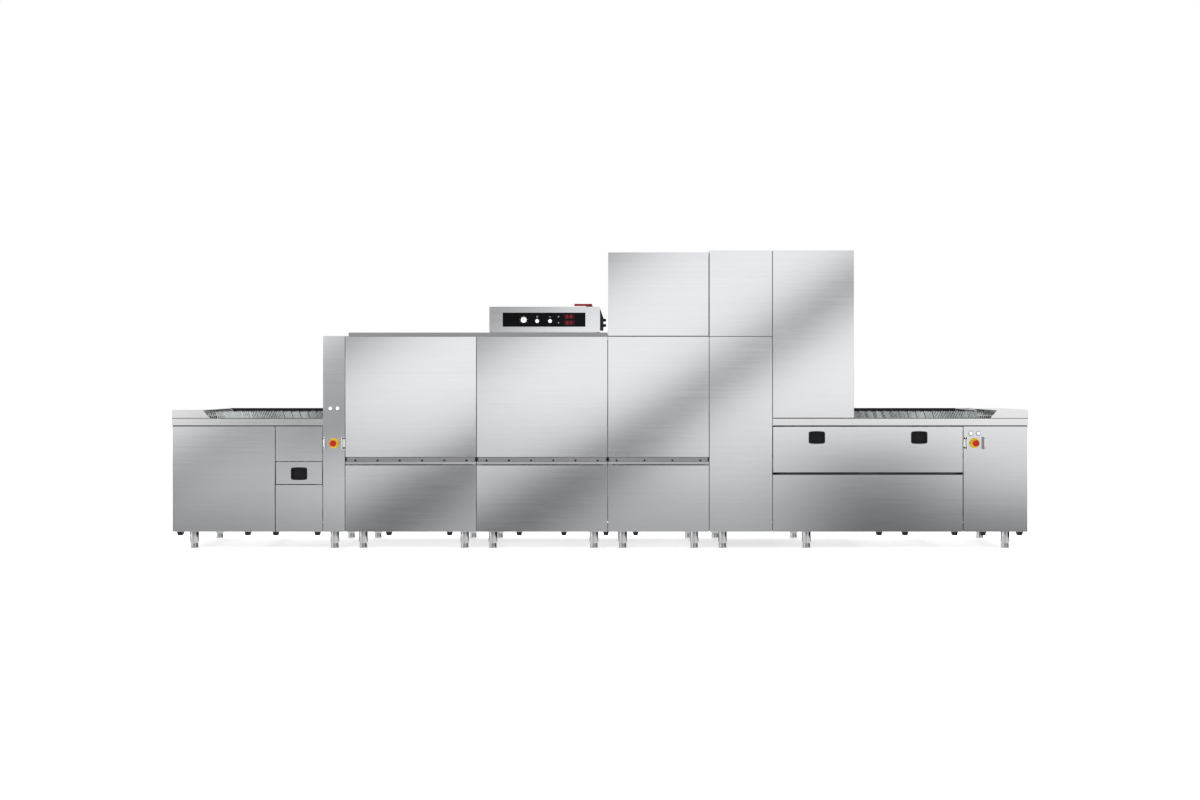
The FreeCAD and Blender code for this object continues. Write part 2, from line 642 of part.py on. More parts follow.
def push_button(x, z, face, proud, behind):
    """A round cap whose front edge is eased."""
    cap = rod(BUTTON_R, (x, face - proud, z), (x, face + behind, z))
    rim_edge = [e for e in cap.Edges if abs(e.BoundBox.YMax - (face - proud)) < 0.01]
    return cap.makeFillet(1.5, rim_edge)


def stop_head(x, z):
    """A mushroom head on a stem that passes through the panel."""
    profile = [(0, -PROUD), (12, -PROUD + 1), (18, -PROUD + 4), (STOP_R, -PROUD + 11),
               (STOP_R, -PROUD + 17), (15, -PROUD + 26), (STEM_R, -PROUD + 32), (STEM_R, 10), (0, 10)]
    wire = Part.makePolygon([vec(x + r, FRONT + y, z) for r, y in profile + profile[:1]])
    return Part.Face(wire).revolve(vec(x, 0, z), vec(0, 1, 0), 360)


def stop_collar(x, z):
    disc = cone(34.5, 31.0, (x, FRONT, z), (x, FRONT - 8, z))
    return disc.cut(rod(STEM_R + CLEAR, (x, FRONT - 9, z), (x, FRONT + 1, z)))


def stop_guard(x, z):
    """Two angle plates that keep trays off the stop button."""
    solids = []
    for side in (-1, 1):
        a = x + side * 60
        plate = block(*sorted((a, a - side * SHEET)), FRONT - 46, FRONT, z - 41, z + 41)
        foot = block(*sorted((a, a + side * 14)), FRONT - SHEET, FRONT, z - 41, z + 41)
        solids.append(plate.fuse(foot))
    return solids


def controls_on_tables():
    names = ("entry_button_left", "entry_button_right", "exit_button_left", "exit_button_right")
    for name, (x, z) in zip(names, ENTRY_BUTTONS + EXIT_BUTTONS):
        save(name, push_button(x, z, FRONT, 8, 12))
    for name, place in (("entry_stop_head", ENTRY_STOP), ("exit_stop_head", EXIT_STOP)):
        save(name, stop_head(*place))
    save("stop_collars", stop_collar(*ENTRY_STOP), stop_collar(*EXIT_STOP))
    save("stop_guards", *stop_guard(*ENTRY_STOP), *stop_guard(*EXIT_STOP))


def limit_bar():
    """The bar that a forgotten tray pushes, and its two cranked arms."""
    bar_x, bar_z, pivot_x, pivot_z = 2548.0, 930.0, 2600.0, 845.0
    arm_in, arm_out = 300.0, 304.0
    bar = rod(7, (bar_x, -arm_out, bar_z), (bar_x, arm_out, bar_z))
    outline = [(bar_x - 8, bar_z + 3), (bar_x + 8, bar_z + 3), (bar_x + 10, bar_z - 30),
               (pivot_x + 10, pivot_z + 12), (pivot_x + 10, pivot_z - 10), (pivot_x - 10, pivot_z - 10),
               (pivot_x - 10, pivot_z + 8), (bar_x - 8, bar_z - 36)]
    arms = [prism_y(outline, arm_in, arm_out), prism_y(outline, -arm_out, -arm_in)]
    pins = [rod(6, (pivot_x, arm_out, pivot_z), (pivot_x, 312, pivot_z)),
            rod(6, (pivot_x, -arm_out, pivot_z), (pivot_x, -312, pivot_z))]
    save("limit_bar", bar.fuse(arms + pins))


# ---- control box ---------------------------------------------------------------------
BOX_X0, BOX_X1, BOX_REAR = -745.0, 0.0, -140.0
GLASS_X0, GLASS_X1, GLASS_Z0, GLASS_Z1 = -655.0, -98.0, 1492.0, 1587.0
GLASS_FRONT = BOX_FRONT - SHEET
KNOB = (-513.0, 1538.0)
KNOB_R = 20.0
PANEL_BUTTONS = ((-423.0, 1530.0), (-336.0, 1530.0))


def control_box():
    """The folded box, its dark glass front and what is set in it."""
    outer = block(BOX_X0, BOX_X1, BOX_FRONT, BOX_REAR, Z_ROOF_TOP + SHEET, Z_BOX_TOP)
    inner = block(BOX_X0 + SHEET, BOX_X1 - SHEET, BOX_FRONT + SHEET, BOX_REAR - SHEET,
                  Z_ROOF_TOP + SHEET, Z_BOX_TOP - SHEET)
    base = block(BOX_X0 + 20, BOX_X1 - 20, BOX_FRONT + 20, BOX_REAR - 20,
                 Z_ROOF_TOP, Z_ROOF_TOP + SHEET)
    shell = outer.cut(inner)
    glass = block(GLASS_X0, GLASS_X1, GLASS_FRONT, BOX_FRONT, GLASS_Z0, GLASS_Z1)
    for x, z, radius in [(*KNOB, 8)] + [(x, z, BUTTON_R) for x, z in PANEL_BUTTONS]:
        hole = rod(radius + CLEAR, (x, GLASS_FRONT - 1, z), (x, BOX_FRONT + SHEET + 1, z))
        shell, glass = shell.cut(hole), glass.cut(hole)
    save("control_box", shell, base)
    save("control_glass", glass)
    x, z = KNOB
    dial = cone(KNOB_R, KNOB_R - 1.5, (x, GLASS_FRONT - CLEAR, z), (x, GLASS_FRONT - 13, z))
    dial = dial.fuse(rod(8, (x, GLASS_FRONT - CLEAR, z), (x, BOX_FRONT + 12, z)))
    notch = block(x - 1.2, x + 1.2, GLASS_FRONT - 14, GLASS_FRONT - 12, z, z + KNOB_R)
    save("program_knob", dial.cut(notch))
    for name, (x, z) in zip(("panel_button_left", "panel_button_right"), PANEL_BUTTONS):
        save(name, push_button(x, z, GLASS_FRONT, 5, 12))


ISOLATOR = (-68.0, -290.0)
GLAND_Z = (1538.0, 1502.0)


def isolator_and_housing():
    """The isolator's base, the end housing with its glands, and the red handle."""
    x, y = ISOLATOR
    base_top = Z_BOX_TOP + 9
    base = prism_y([(x - 30, Z_BOX_TOP), (x - 26, base_top), (x + 14, base_top),
                    (x + 33, Z_BOX_TOP)], y - 30, y + 30)
    base = base.cut(rod(6 + CLEAR, (x, y, Z_BOX_TOP), (x, y, base_top)))
    housing = prism_y([(BOX_X1, 1470), (BOX_X1 + 23, 1470), (BOX_X1 + 23, 1553), (BOX_X1, 1617)],
                      BOX_FRONT + 10, BOX_REAR - 60)
    glands = [rod(8, (BOX_X1 + 23, BOX_FRONT + 40, z), (BOX_X1 + 42, BOX_FRONT + 40, z))
              for z in GLAND_Z]
    glands = [g.cut(rod(5, (BOX_X1 + 27, BOX_FRONT + 40, z), (BOX_X1 + 42, BOX_FRONT + 40, z)))
              for g, z in zip(glands, GLAND_Z)]
    save("control_box_fittings", base, housing, *glands)
    low, high = base_top + CLEAR, base_top + 15
    bar = block(x - 107, x, y - 9, y + 9, low, high)
    tip = [e for e in bar.Edges if abs(e.BoundBox.XMax - (x - 107)) < 0.01 and e.BoundBox.ZLength > 5]
    bar = bar.makeFillet(8, tip)
    handle = bar.fuse(rod(15, (x, y, low), (x, y, high)))
    save("isolator_handle", handle.fuse(rod(6, (x, y, Z_BOX_TOP + 1), (x, y, low))))


# ---- dryer fan and services -------------------------------------------------------------
FAN_X, FAN_Z, FAN_R = 944.0, 1700.0, 130.0


def fan():
    """A centrifugal fan: a round housing open at its inlet, and the bladed wheel."""
    y0, y1 = -60.0, 80.0
    housing = rod(FAN_R + 25, (FAN_X, y0, FAN_Z), (FAN_X, y1, FAN_Z))
    housing = housing.cut(rod(FAN_R + 20, (FAN_X, y0 + 5, FAN_Z), (FAN_X, y1 - 5, FAN_Z)))
    housing = housing.cut(rod(FAN_R - 40, (FAN_X, y0 - 1, FAN_Z), (FAN_X, y0 + 6, FAN_Z)))
    housing = housing.cut(rod(10.05, (FAN_X, y1 - 6, FAN_Z), (FAN_X, y1 + 1, FAN_Z)))
    motor = rod(70, (FAN_X, y1 + 10, FAN_Z), (FAN_X, y1 + 170, FAN_Z))
    stand = block(FAN_X - 60, FAN_X + 60, y1, REAR - SHEET, 1500, 1512)
    mount = block(FAN_X - 60, FAN_X + 60, y1, y1 + 10, 1512, FAN_Z - 40)
    save("fan_housing", housing.fuse([motor.cut(rod(10.05, (FAN_X, y1 + 9, FAN_Z),
         (FAN_X, y1 + 40, FAN_Z))), mount, stand]))
    wheel = rod(FAN_R, (FAN_X, y1 - 15, FAN_Z), (FAN_X, y1 - 11, FAN_Z))
    blades, inner = 16, FAN_R - 30
    for i in range(blades):
        blade = block(FAN_X + inner, FAN_X + FAN_R - 2, y0 + 15, y1 - 15, FAN_Z - 1.5, FAN_Z + 1.5)
        blade.rotate(vec(FAN_X, 0, FAN_Z), vec(0, 1, 0), i * 360 / blades)
        wheel = wheel.fuse(blade)
    save("fan_wheel", wheel.fuse(rod(10, (FAN_X, y1 - 40, FAN_Z), (FAN_X, y1 + 35, FAN_Z))))


INLET = (-300.0, 300.0)
DRAIN = (-560.0, 230.0)


def service_stubs():
    """Rear stubs: the water inlet and the drain."""
    solids = []
    for (x, z), radius, wall in ((INLET, 13.2, 3.0), (DRAIN, 25.0, 2.5)):
        tube = rod(radius, (x, REAR, z), (x, REAR + PROUD, z))
        tube = tube.cut(rod(radius - wall, (x, REAR + 4, z), (x, REAR + PROUD, z)))
        flange = rod(radius + 12, (x, REAR, z), (x, REAR + 4, z))
        solids.append(tube.fuse(flange))
    save("service_stubs", *solids)


os.makedirs("parts", exist_ok=True)
base_frame()
feet("feet_front", -RAIL_Y)
feet("feet_rear", RAIL_Y)
frame_posts()
rear_panels()
roof_panels()
machine_front_panels()
loading_panels()
unloading_panels()
door_sills()
entry_column()
hood()
rinse_casing()
dryer_casing()
table_rims()
end_covers()
tanks()
spray_arms()
curtains()
belt()
drive()
guide_rails()
doors()
drawer()
flap()
controls_on_tables()
limit_bar()
control_box()
isolator_and_housing()
fan()
service_stubs()
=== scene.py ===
import bpy
import bmesh
from math import cos, pi, radians, sin
from mathutils import Matrix, Vector


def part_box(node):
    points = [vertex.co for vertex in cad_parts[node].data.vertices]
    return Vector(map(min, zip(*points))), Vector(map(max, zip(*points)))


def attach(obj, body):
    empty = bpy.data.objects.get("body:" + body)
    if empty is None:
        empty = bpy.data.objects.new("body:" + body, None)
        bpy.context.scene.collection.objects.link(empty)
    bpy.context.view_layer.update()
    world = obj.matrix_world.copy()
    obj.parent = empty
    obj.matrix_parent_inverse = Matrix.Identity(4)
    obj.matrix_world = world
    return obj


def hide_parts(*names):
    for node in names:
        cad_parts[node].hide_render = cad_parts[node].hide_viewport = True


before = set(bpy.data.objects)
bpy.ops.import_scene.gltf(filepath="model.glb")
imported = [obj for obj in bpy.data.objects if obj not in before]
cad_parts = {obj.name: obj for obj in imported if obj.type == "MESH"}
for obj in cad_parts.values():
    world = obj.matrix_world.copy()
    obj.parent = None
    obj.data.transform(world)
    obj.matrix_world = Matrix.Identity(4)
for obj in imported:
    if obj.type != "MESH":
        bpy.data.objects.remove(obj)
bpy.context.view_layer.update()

# ---- The picture ------------------------------------------------------------
# A level camera far in front of the machine, square to its long face, so that
# the panels keep their true proportions from one table end to the other.
lens = bpy.data.cameras.new("camera")
lens.lens = 50
lens.sensor_width = 36
lens.shift_y = -0.0125
lens.clip_end = 200
camera = bpy.data.objects.new("camera", lens)
camera.location = (0, -11.617, 1.1)
camera.rotation_euler = (pi / 2, 0, 0)
bpy.context.collection.objects.link(camera)
bpy.context.scene.camera = camera
bpy.context.scene.view_settings.view_transform = "Standard"

# ---- The studio -------------------------------------------------------------
# A pale sweep of floor under a large white room. Tall dark flags lean across
# the white and low ones stand beside and behind it. The brushed sheets show
# them as soft slanting shades.


class Wire:
    """A shader socket. Arithmetic on it adds the Math nodes that work it out."""

    def __init__(self, tree, socket=None):
        self.tree = tree
        self.socket = socket

    def node(self, kind, settings=None, inputs=None, output=None):
        """Adds a node: its type, its settings, then the values or wires of its sockets."""
        made = self.tree.nodes.new(kind)
        for name, value in (settings or {}).items():
            setattr(made, name, value)
        for name, value in (inputs or {}).items():
            if isinstance(name, int):
                plug = made.inputs[name]
            else:
                plug = next(s for s in made.inputs if s.enabled and s.name == name)
            if isinstance(value, Wire):
                self.tree.links.new(value.socket, plug)
            else:
                plug.default_value = value
        if output is None:
            found = next((s for s in made.outputs if s.enabled), None)
        else:
            found = next(s for s in made.outputs if s.enabled and s.name == output)
        return Wire(self.tree, found)

    def maths(self, operation, *others):
        inputs = {0: self}
        for place, other in enumerate(others):
            inputs[place + 1] = other
        return self.node("ShaderNodeMath", {"operation": operation}, inputs)

    def __add__(self, other):
        return self.maths("ADD", other)

    __radd__ = __add__

    def __sub__(self, other):
        return self.maths("SUBTRACT", other)

    def __rsub__(self, other):
        return self.node("ShaderNodeMath", {"operation": "SUBTRACT"}, {0: other, 1: self})

    def __mul__(self, other):
        return self.maths("MULTIPLY", other)

    def __truediv__(self, other):
        return self.maths("DIVIDE", other)

    def __neg__(self):
        return self.maths("MULTIPLY", -1.0)

    def __abs__(self):
        return self.maths("ABSOLUTE")

    def ramp(self, low, high, to_low=0.0, to_high=1.0):
        """This value run smoothly from one range to another."""
        settings = {"interpolation_type": "SMOOTHSTEP"}
        inputs = {"Value": self, "From Min": low, "From Max": high,
                  "To Min": to_low, "To Max": to_high}
        return self.node("ShaderNodeMapRange", settings, inputs, "Result")


room = bpy.data.worlds.new("studio")
room.use_nodes = True
room.node_tree.nodes.clear()
bpy.context.scene.world = room
sky = Wire(room.node_tree)
way = sky.node("ShaderNodeTexCoord", output="Generated")
parts = {axis: sky.node("ShaderNodeSeparateXYZ", {}, {0: way}, axis) for axis in "XYZ"}
turn = parts["X"].maths("ARCTAN2", -parts["Y"])
rise = parts["Z"].maths("ARCSINE")


def flag(line, place, half_width):
    """How much of a dark flag lies on a line across the room, 1 at its middle."""
    away = (line - place) / half_width
    return (away * away * -1.0).maths("EXPONENT")


slant = turn - rise * 1.42
low = rise.ramp(-0.022, -0.054)
right_flag = flag(slant, 0.066, 0.022 + low * 0.012) * (0.84 + low * 0.04)
left_flag = flag(slant, -0.124, 0.038) * (0.70 - low * 0.46)
far_flag = flag(slant, -0.178, 0.024) * 0.62
side_flag = flag(turn, -0.19, 0.09) * rise.ramp(-0.056, -0.088) * 0.38
low_flag = flag(turn, 0.162, 0.050) * low * 0.66
corner = turn.ramp(0.08, 0.24) * turn.ramp(0.42, 0.30) * 0.66
corner = corner * rise.ramp(-0.050, -0.088) * rise.ramp(-0.155, -0.120)
around = flag(slant.maths("FLOORED_MODULO", 0.8), 0.4, 0.10)
around = around * parts["Y"].ramp(-0.90, -0.75) * 0.36
middle_low = flag(turn, 0.05, 0.08) * rise.ramp(-0.045, -0.08) * 0.26
door_flag = flag(turn, -0.11, 0.06) * rise.ramp(-0.012, -0.028) * rise.ramp(-0.062, -0.045)
skirt = rise.ramp(-0.070, -0.086) * rise.ramp(-0.150, -0.130)
deep_skirt = rise.ramp(-0.070, -0.086) * rise.ramp(-0.200, -0.165)
beside = turn.ramp(0.85, 1.15) * deep_skirt * 0.98
narrow = flag(turn, -0.52, 0.20) * skirt * 0.78
behind = abs(turn).ramp(2.0, 2.5) * deep_skirt * 0.85
glint = flag(turn, -1.30, 0.36) * deep_skirt * 1.3
level = 1.17 + rise.maths("MINIMUM", 0.0).maths("MAXIMUM", -0.115) * 5.5
level = level + rise.ramp(-0.12, -0.24) * 0.36 - rise.ramp(0.3, 1.4) * 0.16
shade = level
for dark in (right_flag, left_flag, far_flag, side_flag, low_flag, corner, around,
             door_flag * 0.22, middle_low, beside, narrow, behind):
    shade = shade * (1.0 - dark)
shade = shade * (1.0 + glint)
seen = sky.node("ShaderNodeLightPath", output="Is Camera Ray")
glow = seen + (1.0 - seen) * shade
white = sky.node("ShaderNodeBackground", {}, {"Color": (1.0, 1.0, 1.0, 1.0), "Strength": glow})
sky.node("ShaderNodeOutputWorld", {}, {"Surface": white})

sweep = bmesh.new()
bmesh.ops.create_grid(sweep, x_segments=1, y_segments=1, size=30)
bmesh.ops.translate(sweep, verts=sweep.verts, vec=(0, 0, -0.0008))
floor_mesh = bpy.data.meshes.new("floor")
sweep.to_mesh(floor_mesh)
sweep.free()
floor = bpy.data.objects.new("floor", floor_mesh)
bpy.context.collection.objects.link(floor)
floor.visible_glossy = False
pale = bpy.data.materials.new("pale_floor")
pale.use_nodes = True
floor_finish = pale.node_tree.nodes["Principled BSDF"].inputs
floor_finish["Base Color"].default_value = (0.93, 0.93, 0.93, 1)
floor_finish["Roughness"].default_value = 0.9
floor_finish["Specular IOR Level"].default_value = 0.1
floor_finish["Emission Color"].default_value = (1, 1, 1, 1)
floor_finish["Emission Strength"].default_value = 0.66
floor_mesh.materials.append(pale)

for label, place, aim, size, power in (
        ("overhead", (0, -1.5, 5.5), (0, 0, 0.8), 8.0, 330),
        ("front_left", (-4.5, -8.0, 4.0), (-0.5, 0, 0.8), 3.0, 130),
        ("rear_fill", (1.0, 6.0, 4.5), (0, 0, 0.8), 5.0, 120)):
    lamp = bpy.data.lights.new(label, "AREA")
    lamp.shape = "DISK"
    lamp.size = size
    lamp.energy = power
    holder = bpy.data.objects.new(label, lamp)
    holder.location = place
    holder.rotation_euler = (Vector(aim) - Vector(place)).to_track_quat("-Z", "Y").to_euler()
    holder.visible_glossy = False
    bpy.context.collection.objects.link(holder)

# ---- Folded panels ----------------------------------------------------------
# The lower panels of the machine and the tables: 3 mm stainless sheet, folded
# back along all four edges and clipped to the frame, brushed along the belt.


def steel(name, tint, rough, grain, stain, bump=0.00002, lean=0.0):
    """Stainless sheet: fine brushed lines along X, faint streaks, and wiped smears.

    A panel that hangs a little out of true leans by a small slope along X."""
    made = bpy.data.materials.new(name)
    made.use_nodes = True
    made.node_tree.nodes.clear()
    wire = Wire(made.node_tree)
    place = wire.node("ShaderNodeTexCoord", output="Object")
    face = wire.node("ShaderNodeNewGeometry", output="Normal")
    upright = wire.node("ShaderNodeSeparateXYZ", {}, {0: face}, "Z")
    flat_top = abs(upright).ramp(0.6, 0.8)
    along_side = (3.0, 3.0, 620.0)
    along_top = (3.0, 620.0, 3.0)
    coarse_side = (0.55, 0.55, 115.0)
    coarse_top = (0.55, 115.0, 0.55)

    def brushed(side, top, detail):
        scratches = []
        for stretch in (side, top):
            spread = wire.node("ShaderNodeMapping", {}, {"Vector": place, "Scale": stretch})
            scratches.append(wire.node("ShaderNodeTexNoise", {}, {
                "Vector": spread, "Scale": 1.0, "Detail": detail, "Roughness": 0.62},
                "Fac"))
        return scratches[0] + (scratches[1] - scratches[0]) * flat_top

    fine = brushed(along_side, along_top, 3.0)
    streaks = brushed(coarse_side, coarse_top, 4.0)
    smears = wire.node("ShaderNodeTexNoise", {}, {
        "Vector": place, "Scale": 2.6, "Detail": 6.0, "Roughness": 0.58, "Distortion": 0.6}, "Fac")
    wiped = wire.node("ShaderNodeMapping", {}, {"Vector": place, "Scale": (1.4, 1.4, 5.0),
                                                 "Rotation": (0.0, 0.35, 0.0)})
    wiped = wire.node("ShaderNodeTexNoise", {}, {
        "Vector": wiped, "Scale": 3.1, "Detail": 3.0, "Roughness": 0.5}, "Fac").ramp(0.5, 0.72)
    light = 1.0 + (fine - 0.5) * grain + (streaks - 0.5) * grain * 0.8 - wiped * stain * 0.2
    light = light + (smears - 0.5) * stain
    base = wire.node("ShaderNodeVectorMath", {"operation": "SCALE"},
                     {0: tint, "Scale": light}, "Vector")
    roughness = rough + (fine - 0.5) * 0.05 + (smears - 0.5) * stain * 0.5 + wiped * stain * 0.2
    lines = fine * 0.6 + streaks * 0.4
    height = lines * bump
    if lean:
        height = height + wire.node("ShaderNodeSeparateXYZ", {}, {0: place}, "X") * lean
    relief = wire.node("ShaderNodeBump", {}, {
        "Strength": 1.0, "Distance": 1.0, "Height": height}, "Normal")
    body = wire.node("ShaderNodeBsdfPrincipled", {}, {
        "Base Color": base, "Metallic": 1.0, "Roughness": roughness, "Normal": relief}, "BSDF")
    wire.node("ShaderNodeOutputMaterial", {}, {"Surface": body})
    return made


def own(shape, name, material, body):
    """Turns a finished bmesh into a piece that rides on a body."""
    mesh = bpy.data.meshes.new(name)
    shape.to_mesh(mesh)
    shape.free()
    mesh.materials.append(material)
    piece = bpy.data.objects.new(name, mesh)
    bpy.context.collection.objects.link(piece)
    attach(piece, body)
    return piece


def folded(node, body, material, edge=0.0013):
    """A CAD sheet with its sharp folds rounded, standing in for that node."""
    shape = bmesh.new()
    shape.from_mesh(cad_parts[node].data)
    bmesh.ops.remove_doubles(shape, verts=shape.verts, dist=0.00001)
    bmesh.ops.dissolve_limit(shape, angle_limit=radians(0.5), verts=shape.verts,
                             edges=shape.edges, use_dissolve_boundaries=False)
    for face in shape.faces:
        bends = [e.calc_face_angle(0.0) for e in face.edges]
        face.smooth = any(radians(1) < bend < radians(35) for bend in bends)
    sharp = [e for e in shape.edges
             if e.is_manifold and e.calc_face_angle(0.0) > radians(35)]
    rounded = bmesh.ops.bevel(shape, geom=sharp, offset=edge, segments=2, profile=0.5,
                              affect="EDGES", material=-1, clamp_overlap=True)
    for face in rounded["faces"]:
        face.smooth = True
    low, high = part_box(node)
    for corner in shape.verts:
        for axis in range(3):
            corner.co[axis] = min(max(corner.co[axis], low[axis]), high[axis])
    piece = own(shape, node + "_sheet", material, body)
    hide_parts(node)
    return piece


skin = steel("brushed_skin", (0.722, 0.731, 0.748), 0.085, 0.10, 0.022)
folded("loading_panels", "cabinet", skin)
lower_panels = folded("machine_front_panels", "cabinet", skin)
leaning_skin = steel("brushed_leaning_skin", (0.722, 0.731, 0.748), 0.085, 0.10, 0.022, lean=-0.039)
lower_panels.data.materials.append(leaning_skin)
for face in lower_panels.data.polygons:
    if face.center.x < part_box("wash_door_1")[1].x:
        face.material_index = 1
folded("unloading_panels", "cabinet", skin)

# ---- Column, casings and hood -----------------------------------------------
# Tall folded sheets over the tunnel: the entry column, the heat recovery casing,
# the dryer and the exhaust hood. The same brushed sheet, welded at the corners.
for node in ("entry_column", "hood", "rinse_casing", "dryer_casing", "end_panels",
             "rear_panels"):
    folded(node, "cabinet", skin)
roof = folded("roof_panels", "cabinet", skin)
# The roof's front faces take a darker copy of the sheet: a painted shade.
shaded_steel = steel("roof_front_painted_shade_sheet", (0.36, 0.36, 0.37), 0.24, 0.12, 0.06)
roof.data.materials.append(shaded_steel)
for face in roof.data.polygons:
    if face.normal.y < -0.5:
        face.material_index = 1

# ---- Table rims and end covers ----------------------------------------------
# Pressed rims that catch drips and lead them back to the tanks, and the covers
# over the belt's turns. Bright polished folds along the front edge.
rim_steel = steel("polished_rim", (0.76, 0.76, 0.765), 0.10, 0.08, 0.05)
rims = folded("table_rims", "cabinet", rim_steel, edge=0.0012)
# The front-facing inner wall of the rear upstand is near black: a painted shade.
splash_steel = steel("rear_wall_painted_shade_sheet", (0.020, 0.020, 0.022), 0.42, 0.2, 0.1)
rims.data.materials.append(splash_steel)
for face in rims.data.polygons:
    if face.normal.y < -0.5 and face.center.y > 0.30:
        face.material_index = 1
folded("end_covers", "cabinet", rim_steel, edge=0.0012)

# ---- Lift doors -------------------------------------------------------------
# Three doors of folded sheet that lift straight up in the slotted posts. Each
# has two nylon runners behind it.
folded("wash_door_1", "wash_door_1", leaning_skin)
folded("wash_door_2", "wash_door_2", skin)
folded("rinse_door", "rinse_door", skin)

# ---- Drawer and flap --------------------------------------------------------
# The strainer drawer under the loading table, and the long flap that drops down
# on its hinge to give access below the unloading table.
folded("drawer", "drawer", skin)
flap = folded("flap", "flap", skin)
hinge_steel = steel("hinge_steel", (0.06, 0.06, 0.065), 0.35, 0.2, 0.1)
flap.data.materials.append(hinge_steel)
hinge_top = 0.5148
for face in flap.data.polygons:
    if face.center.z < hinge_top:
        face.material_index = 1
folded("flap_hinge", "cabinet", hinge_steel, edge=0.0003)

# ---- Door sills -------------------------------------------------------------
# Pressed sills that the doors close onto, with a low step that throws water
# back. The recess behind each door is darker sheet, a painted shade, and the
# upward faces of the ledge below it are near black, a painted shadow.
sill_steel = steel("sill_sheet", (0.60, 0.605, 0.62), 0.16, 0.10, 0.07)
sills = folded("door_sills", "cabinet", sill_steel)
recess_steel = steel("sill_recess_painted_shade", (0.38, 0.382, 0.39), 0.24, 0.10, 0.07)
ledge_steel = steel("sill_ledge_painted_shadow", (0.05, 0.05, 0.052), 0.40, 0.10, 0.07)
sills.data.materials.append(recess_steel)
sills.data.materials.append(ledge_steel)
sill_front = -0.4445
step_top = 0.610
for face in sills.data.polygons:
    if face.center.y > sill_front and face.normal.y < -0.5:
        face.material_index = 1
    elif face.normal.z > 0.3 and face.center.z < step_top:
        face.material_index = 2

# ---- Control box ------------------------------------------------------------
# A small folded box on the roof of the second wash zone. It holds the controls,
# and the main switch stands on top of it.
folded("control_box", "cabinet", skin)

# ---- Base frame, posts, tanks and rails -------------------------------------
# Box rails and cross members welded up from square tube, slotted posts for the
# doors, and the open tanks below the belt. Mill finish, never polished. The base
# frame is near black, a painted shade for its lugs in shadow under the machine.


def paint(node, material):
    """Gives a CAD node's own mesh a finish."""
    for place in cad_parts[node].material_slots:
        place.material = material


mill_steel = steel("mill_frame", (0.30, 0.30, 0.31), 0.34, 0.22, 0.20)
pickled_steel = steel("pickled_tank", (0.50, 0.50, 0.50), 0.40, 0.16, 0.22)
black_steel = steel("base_frame_painted_shade", (0.035, 0.035, 0.038), 0.38, 0.3, 0.3)
paint("base_frame", black_steel)
paint("frame_posts", mill_steel)
paint("guide_rails", mill_steel)
paint("tanks", pickled_steel)

# ---- Feet -------------------------------------------------------------------
# Tapered tube legs in bright turned steel, with a grooved foot that screws in
# and out of each one to level the machine.


def turned(shape, outline, place, axis, steps=32):
    """Spins an outline of (radius, height) pairs right round an axis."""
    along = Vector(axis)
    across = along.orthogonal().normalized()
    corners = [shape.verts.new(Vector(place) + across * radius + along * height)
               for radius, height in outline]
    edges = [shape.edges.new(pair) for pair in zip(corners, corners[1:])]
    bmesh.ops.spin(shape, geom=corners + edges, cent=place, axis=axis, angle=2 * pi,
                   steps=steps, use_merge=True, use_duplicate=False)
    bmesh.ops.remove_doubles(shape, verts=shape.verts[:], dist=0.000001)
    bmesh.ops.recalc_face_normals(shape, faces=shape.faces[:])


def pattern(name, template, places):
    """One bmesh repeated at several places, each a vector or a matrix."""
    once = bpy.data.meshes.new(name + "_template")
    template.to_mesh(once)
    template.free()
    many = bmesh.new()
    for place in places:
        known = len(many.verts)
        many.from_mesh(once)
        many.verts.ensure_lookup_table()
        matrix = place if isinstance(place, Matrix) else Matrix.Translation(place)
        bmesh.ops.transform(many, matrix=matrix, verts=many.verts[known:])
    bpy.data.meshes.remove(once)
    return many


def smooth(piece, angle=35):
    """Shades a piece smoothly, but for its edges sharper than an angle."""
    for face in piece.data.polygons:
        face.use_smooth = True
    piece.data.set_sharp_from_angle(angle=radians(angle))


turned_steel = steel("turned_foot", (0.66, 0.66, 0.67), 0.09, 0.18, 0.10, bump=0.000002)
leg = [(0.0, 0.1195), (0.0298, 0.1195), (0.0297, 0.112), (0.0287, 0.0440), (0.0276, 0.0390),
       (0.0258, 0.0368), (0.0, 0.0368)]
foot = [(0.0, 0.0366), (0.0180, 0.0366), (0.0180, 0.0345), (0.0238, 0.0342), (0.0250, 0.0328),
        (0.0250, 0.0275), (0.0236, 0.0264), (0.0236, 0.0236), (0.0250, 0.0225), (0.0250, 0.0175),
        (0.0236, 0.0164), (0.0236, 0.0136), (0.0250, 0.0125), (0.0250, 0.0045), (0.0240, 0.0012),
        (0.0228, 0.0), (0.0, 0.0)]
feet_x = (-2.735, -1.788, -1.596, -0.912, -0.722, -0.041, 0.153, 0.635, 0.826, 1.392, 2.732)
for node, feet_y in (("feet_front", -0.375), ("feet_rear", 0.375)):
    one = bmesh.new()
    turned(one, leg, (0, 0, 0), (0, 0, 1), steps=40)
    turned(one, foot, (0, 0, 0), (0, 0, 1), steps=40)
    legs = own(pattern(node, one, [Vector((x, feet_y, 0)) for x in feet_x]),
               node + "_turned", turned_steel, "cabinet")
    smooth(legs, 30)
    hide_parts(node)

# ---- Sill screws and buffers ------------------------------------------------
# Black pan-head screws along each sill, on sealing washers, and a rubber buffer
# at both ends where the door comes down.


def slab(shape, low, high, ease=0.0, segments=2):
    """A box between two corners, with its edges eased."""
    low = Vector(low)
    high = Vector(high)
    middle = Matrix.Translation((low + high) / 2)
    made = bmesh.ops.create_cube(shape, size=1, matrix=middle @ Matrix.Diagonal((*(high - low), 1)))
    corners = made["verts"]
    if ease:
        edges = list({edge for corner in corners for edge in corner.link_edges})
        bmesh.ops.bevel(shape, geom=edges, offset=ease, segments=segments, profile=0.5,
                        affect="EDGES", material=-1, clamp_overlap=True)
    return corners


